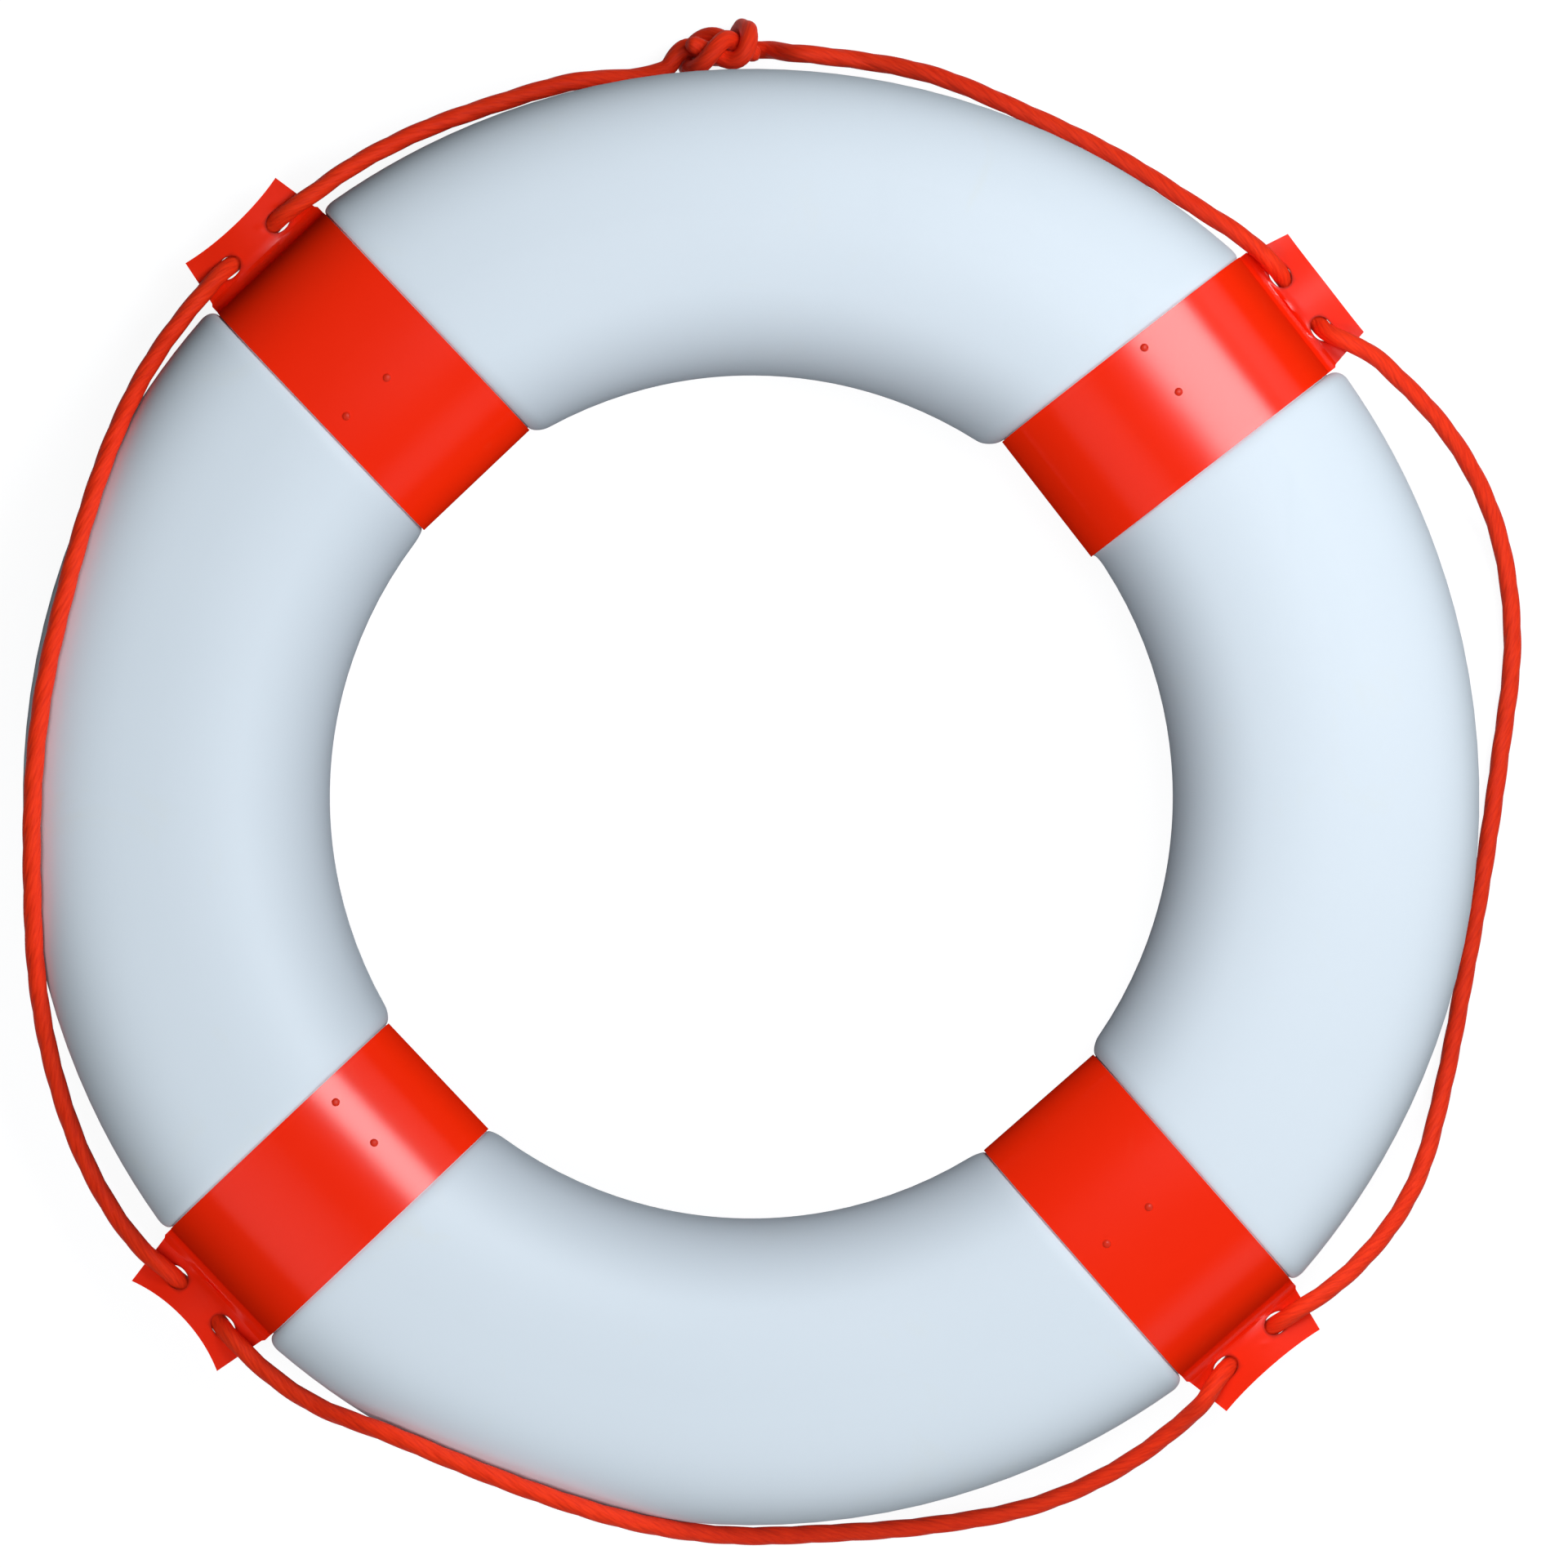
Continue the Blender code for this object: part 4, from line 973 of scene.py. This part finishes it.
def makeBands():
    finish = newFinish("orange coated fabric", bandFinish)
    for band in bands.values():
        strip = placed("strip", clothMesh(band))
        thicken = strip.modifiers.new("thickness", "SOLIDIFY")
        thicken.thickness, thicken.offset, thicken.use_even_offset = bandSize["thickness"], 0, True
        mesh = turnedOut(plainMesh(strip), smoothAngle=38)
        mesh.transform(band.matrix)
        made = piece("band_" + band.name.replace("_", ""), mesh, finish, "ring")
        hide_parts("band_" + band.name)
    print(f"bands: {len(bands)}")


# Pins: one flat domed head with its shank on each place

pinSize = {"headRadius": 2.1 * mm, "headHeight": 0.8 * mm, "lift": 0.1 * mm, "spacing": 28.5 * mm,
           "segments": 24, "rings": 12, "underside": -0.02 * mm, "shankDepth": 0.5, "shankWidth": 0.45,
           "searchSteps": 3600, "slopeStep": 0.01}


def pinTree():
    tree, given, out = newGroup("push pins", "GeometryNodeTree", {
        "Places": "Geometry", "Head radius": pinSize["headRadius"], "Head height": pinSize["headHeight"]},
        {"Pins": "Geometry"})
    ball = addNode(tree, "GeometryNodeMeshUVSphere", {
        "Segments": pinSize["segments"], "Rings": pinSize["rings"], "Radius": given["Head radius"]})
    spot = position(tree)
    # the upper half is pressed into a low dome, the lower half into the underside and a short shank
    above = maths("GREATER_THAN", spot["Z"], pinSize["underside"])
    raised = spot["Z"] * (given["Head height"] / given["Head radius"])
    lowered = spot["Z"] * pinSize["shankDepth"]
    slim = above * (1 - pinSize["shankWidth"]) + pinSize["shankWidth"]
    flat = combined(spot["X"] * slim, spot["Y"] * slim, above * raised + (1.0 - above) * lowered)
    head = addNode(tree, "GeometryNodeSetPosition", {"Geometry": ball, "Position": flat})
    normal = addNode(tree, "GeometryNodeInputNamedAttribute", {"Name": "pinAxis"}, data_type="FLOAT_VECTOR")
    turned = addNode(tree, "FunctionNodeAlignRotationToVector", {"Vector": normal}, axis="Z")
    pins = addNode(tree, "GeometryNodeInstanceOnPoints", {"Points": given["Places"], "Instance": head,
                                                          "Rotation": turned})
    wire(addNode(tree, "GeometryNodeRealizeInstances", {"Geometry": pins}), out["Pins"])
    return tree


def makePins():
    places, axes, nodes = [], [], []
    grow, steps, slope = touchGap + bandSize["thickness"], pinSize["searchSteps"], pinSize["slopeStep"]
    for band in bands.values():
        radius, offset = band.pins
        turn = max((pi * i / steps for i in range(steps + 1)),
                   key=lambda t: -abs(band.waistPoint(grow, t)[0] - radius))
        (x0, z0), (x1, z1) = (band.waistPoint(grow, turn + step) for step in (-slope, slope))
        normal = Vector((z1 - z0, 0, x0 - x1)).normalized()
        for number, side in enumerate((-0.5, 0.5), 1):
            spot = Vector(((x0 + x1) / 2, band.offset + offset + side * pinSize["spacing"], (z0 + z1) / 2))
            places.append(band.matrix @ (spot + normal * pinSize["lift"]))
            axes.append(band.matrix.to_3x3() @ normal)
            nodes.append(f"pin_{band.name}_{number}")
    mesh = bpy.data.meshes.new("pinPlaces")
    mesh.from_pydata([tuple(p) for p in places], [], [])
    mesh.attributes.new("pinAxis", "FLOAT_VECTOR", "POINT").data.foreach_set("vector", np.array(axes).ravel())
    heads = turnedOut(evaluated(placed("pinPlaces", mesh), pinTree()), smoothAngle=50)
    finish = newFinish("orange nylon", lambda tree: satinFinish(tree, pinLook))
    made = piece("bandPins", heads, finish, "ring")
    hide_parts(*nodes)
    print(f"pins: {len(places)}")


# Stage, and a camera straight over the ring, as far off as the picture was taken

camera = {"lens": 200, "distance": 4494 * mm, "x": 16.9 * mm, "y": 6.7 * mm, "clipEnd": 20}
stage = {"floorSize": 8, "floorColour": (0.20, 0.203, 0.206, 1), "floorGlow": 0.90,
         "skyColour": (0.93, 0.965, 1.0, 1), "skyStrength": 0.02, "aim": (0, 0, 0.05)}
# name, azimuth and height above the horizon in degrees, distance, size, watts; only the first shows in gloss
lamps = (("keySoftbox", 43, 71, 1.35, 0.42, 3.7), ("sideSoftbox", 45, 42, 1.7, 0.8, 12.5),
         ("rightFill", 0, 42, 1.7, 0.8, 2.6), ("cornerFill", 315, 42, 1.7, 0.8, 4.0),
         ("nearFill", 225, 65, 1.7, 0.8, 10.4), ("lowFill", 275, 20, 1.7, 0.6, 2.1))
keyColour, fillColour = (0.92, 0.945, 1.0), (0.94, 0.965, 1.0)


def addCamera():
    data = bpy.data.cameras.new("camera")
    data.lens, data.clip_end = camera["lens"], camera["clipEnd"]
    made = placed("camera", data)
    made.location = (camera["x"], camera["y"], halfThickness + camera["distance"])
    scene.camera = made


def floorFinish(tree):
    path = addNode(tree, "LightPath")
    seen = maths("MAXIMUM", path["Is Camera Ray"],
                 maths("MAXIMUM", path["Is Glossy Ray"], path["Is Transmission Ray"]))
    return {"Base Color": stage["floorColour"], "Roughness": 0.8, "Specular IOR Level": 0.1,
            "Emission Color": (1, 1, 1, 1), "Emission Strength": seen * stage["floorGlow"]}


def makeStage():
    size = stage["floorSize"] / 2
    mesh = bpy.data.meshes.new("floor")
    corners = [(-size, -size, 0), (size, -size, 0), (size, size, 0), (-size, size, 0)]
    mesh.from_pydata(corners, [], [(0, 1, 2, 3)])
    mesh.materials.append(newFinish("pale floor", floorFinish))
    floor = placed("floor", mesh)

    world = bpy.data.worlds.new("studio")
    scene.world = world
    world.use_nodes = True
    sky = world.node_tree.nodes["Background"]
    sky.inputs["Color"].default_value = stage["skyColour"]
    seen = addNode(world.node_tree, "LightPath")["Is Camera Ray"]
    wire(maths("MAXIMUM", seen, stage["skyStrength"]), sky.inputs["Strength"])
    for i, (name, azimuth, height, distance, size, watts) in enumerate(lamps):
        level = distance * cos(height * deg)
        data = bpy.data.lights.new(name, "AREA")
        data.shape, data.size, data.energy = "SQUARE", size, watts
        data.color = fillColour if i else keyColour
        made = placed(name, data)
        made.location = (level * cos(azimuth * deg), level * sin(azimuth * deg),
                         distance * sin(height * deg))
        made.visible_glossy = i == 0
        made.rotation_euler = (Vector(stage["aim"]) - made.location).to_track_quat("-Z", "Y").to_euler()
    scene.view_settings.view_transform = "Standard"


addCamera()
makeGrabLine()
makeShell()
makePlug()
makeBands()
makePins()
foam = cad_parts["foam_core"]
foam.data.materials.clear()
foam.data.materials.append(newFinish("cream foam", foamFinish))
makeStage()
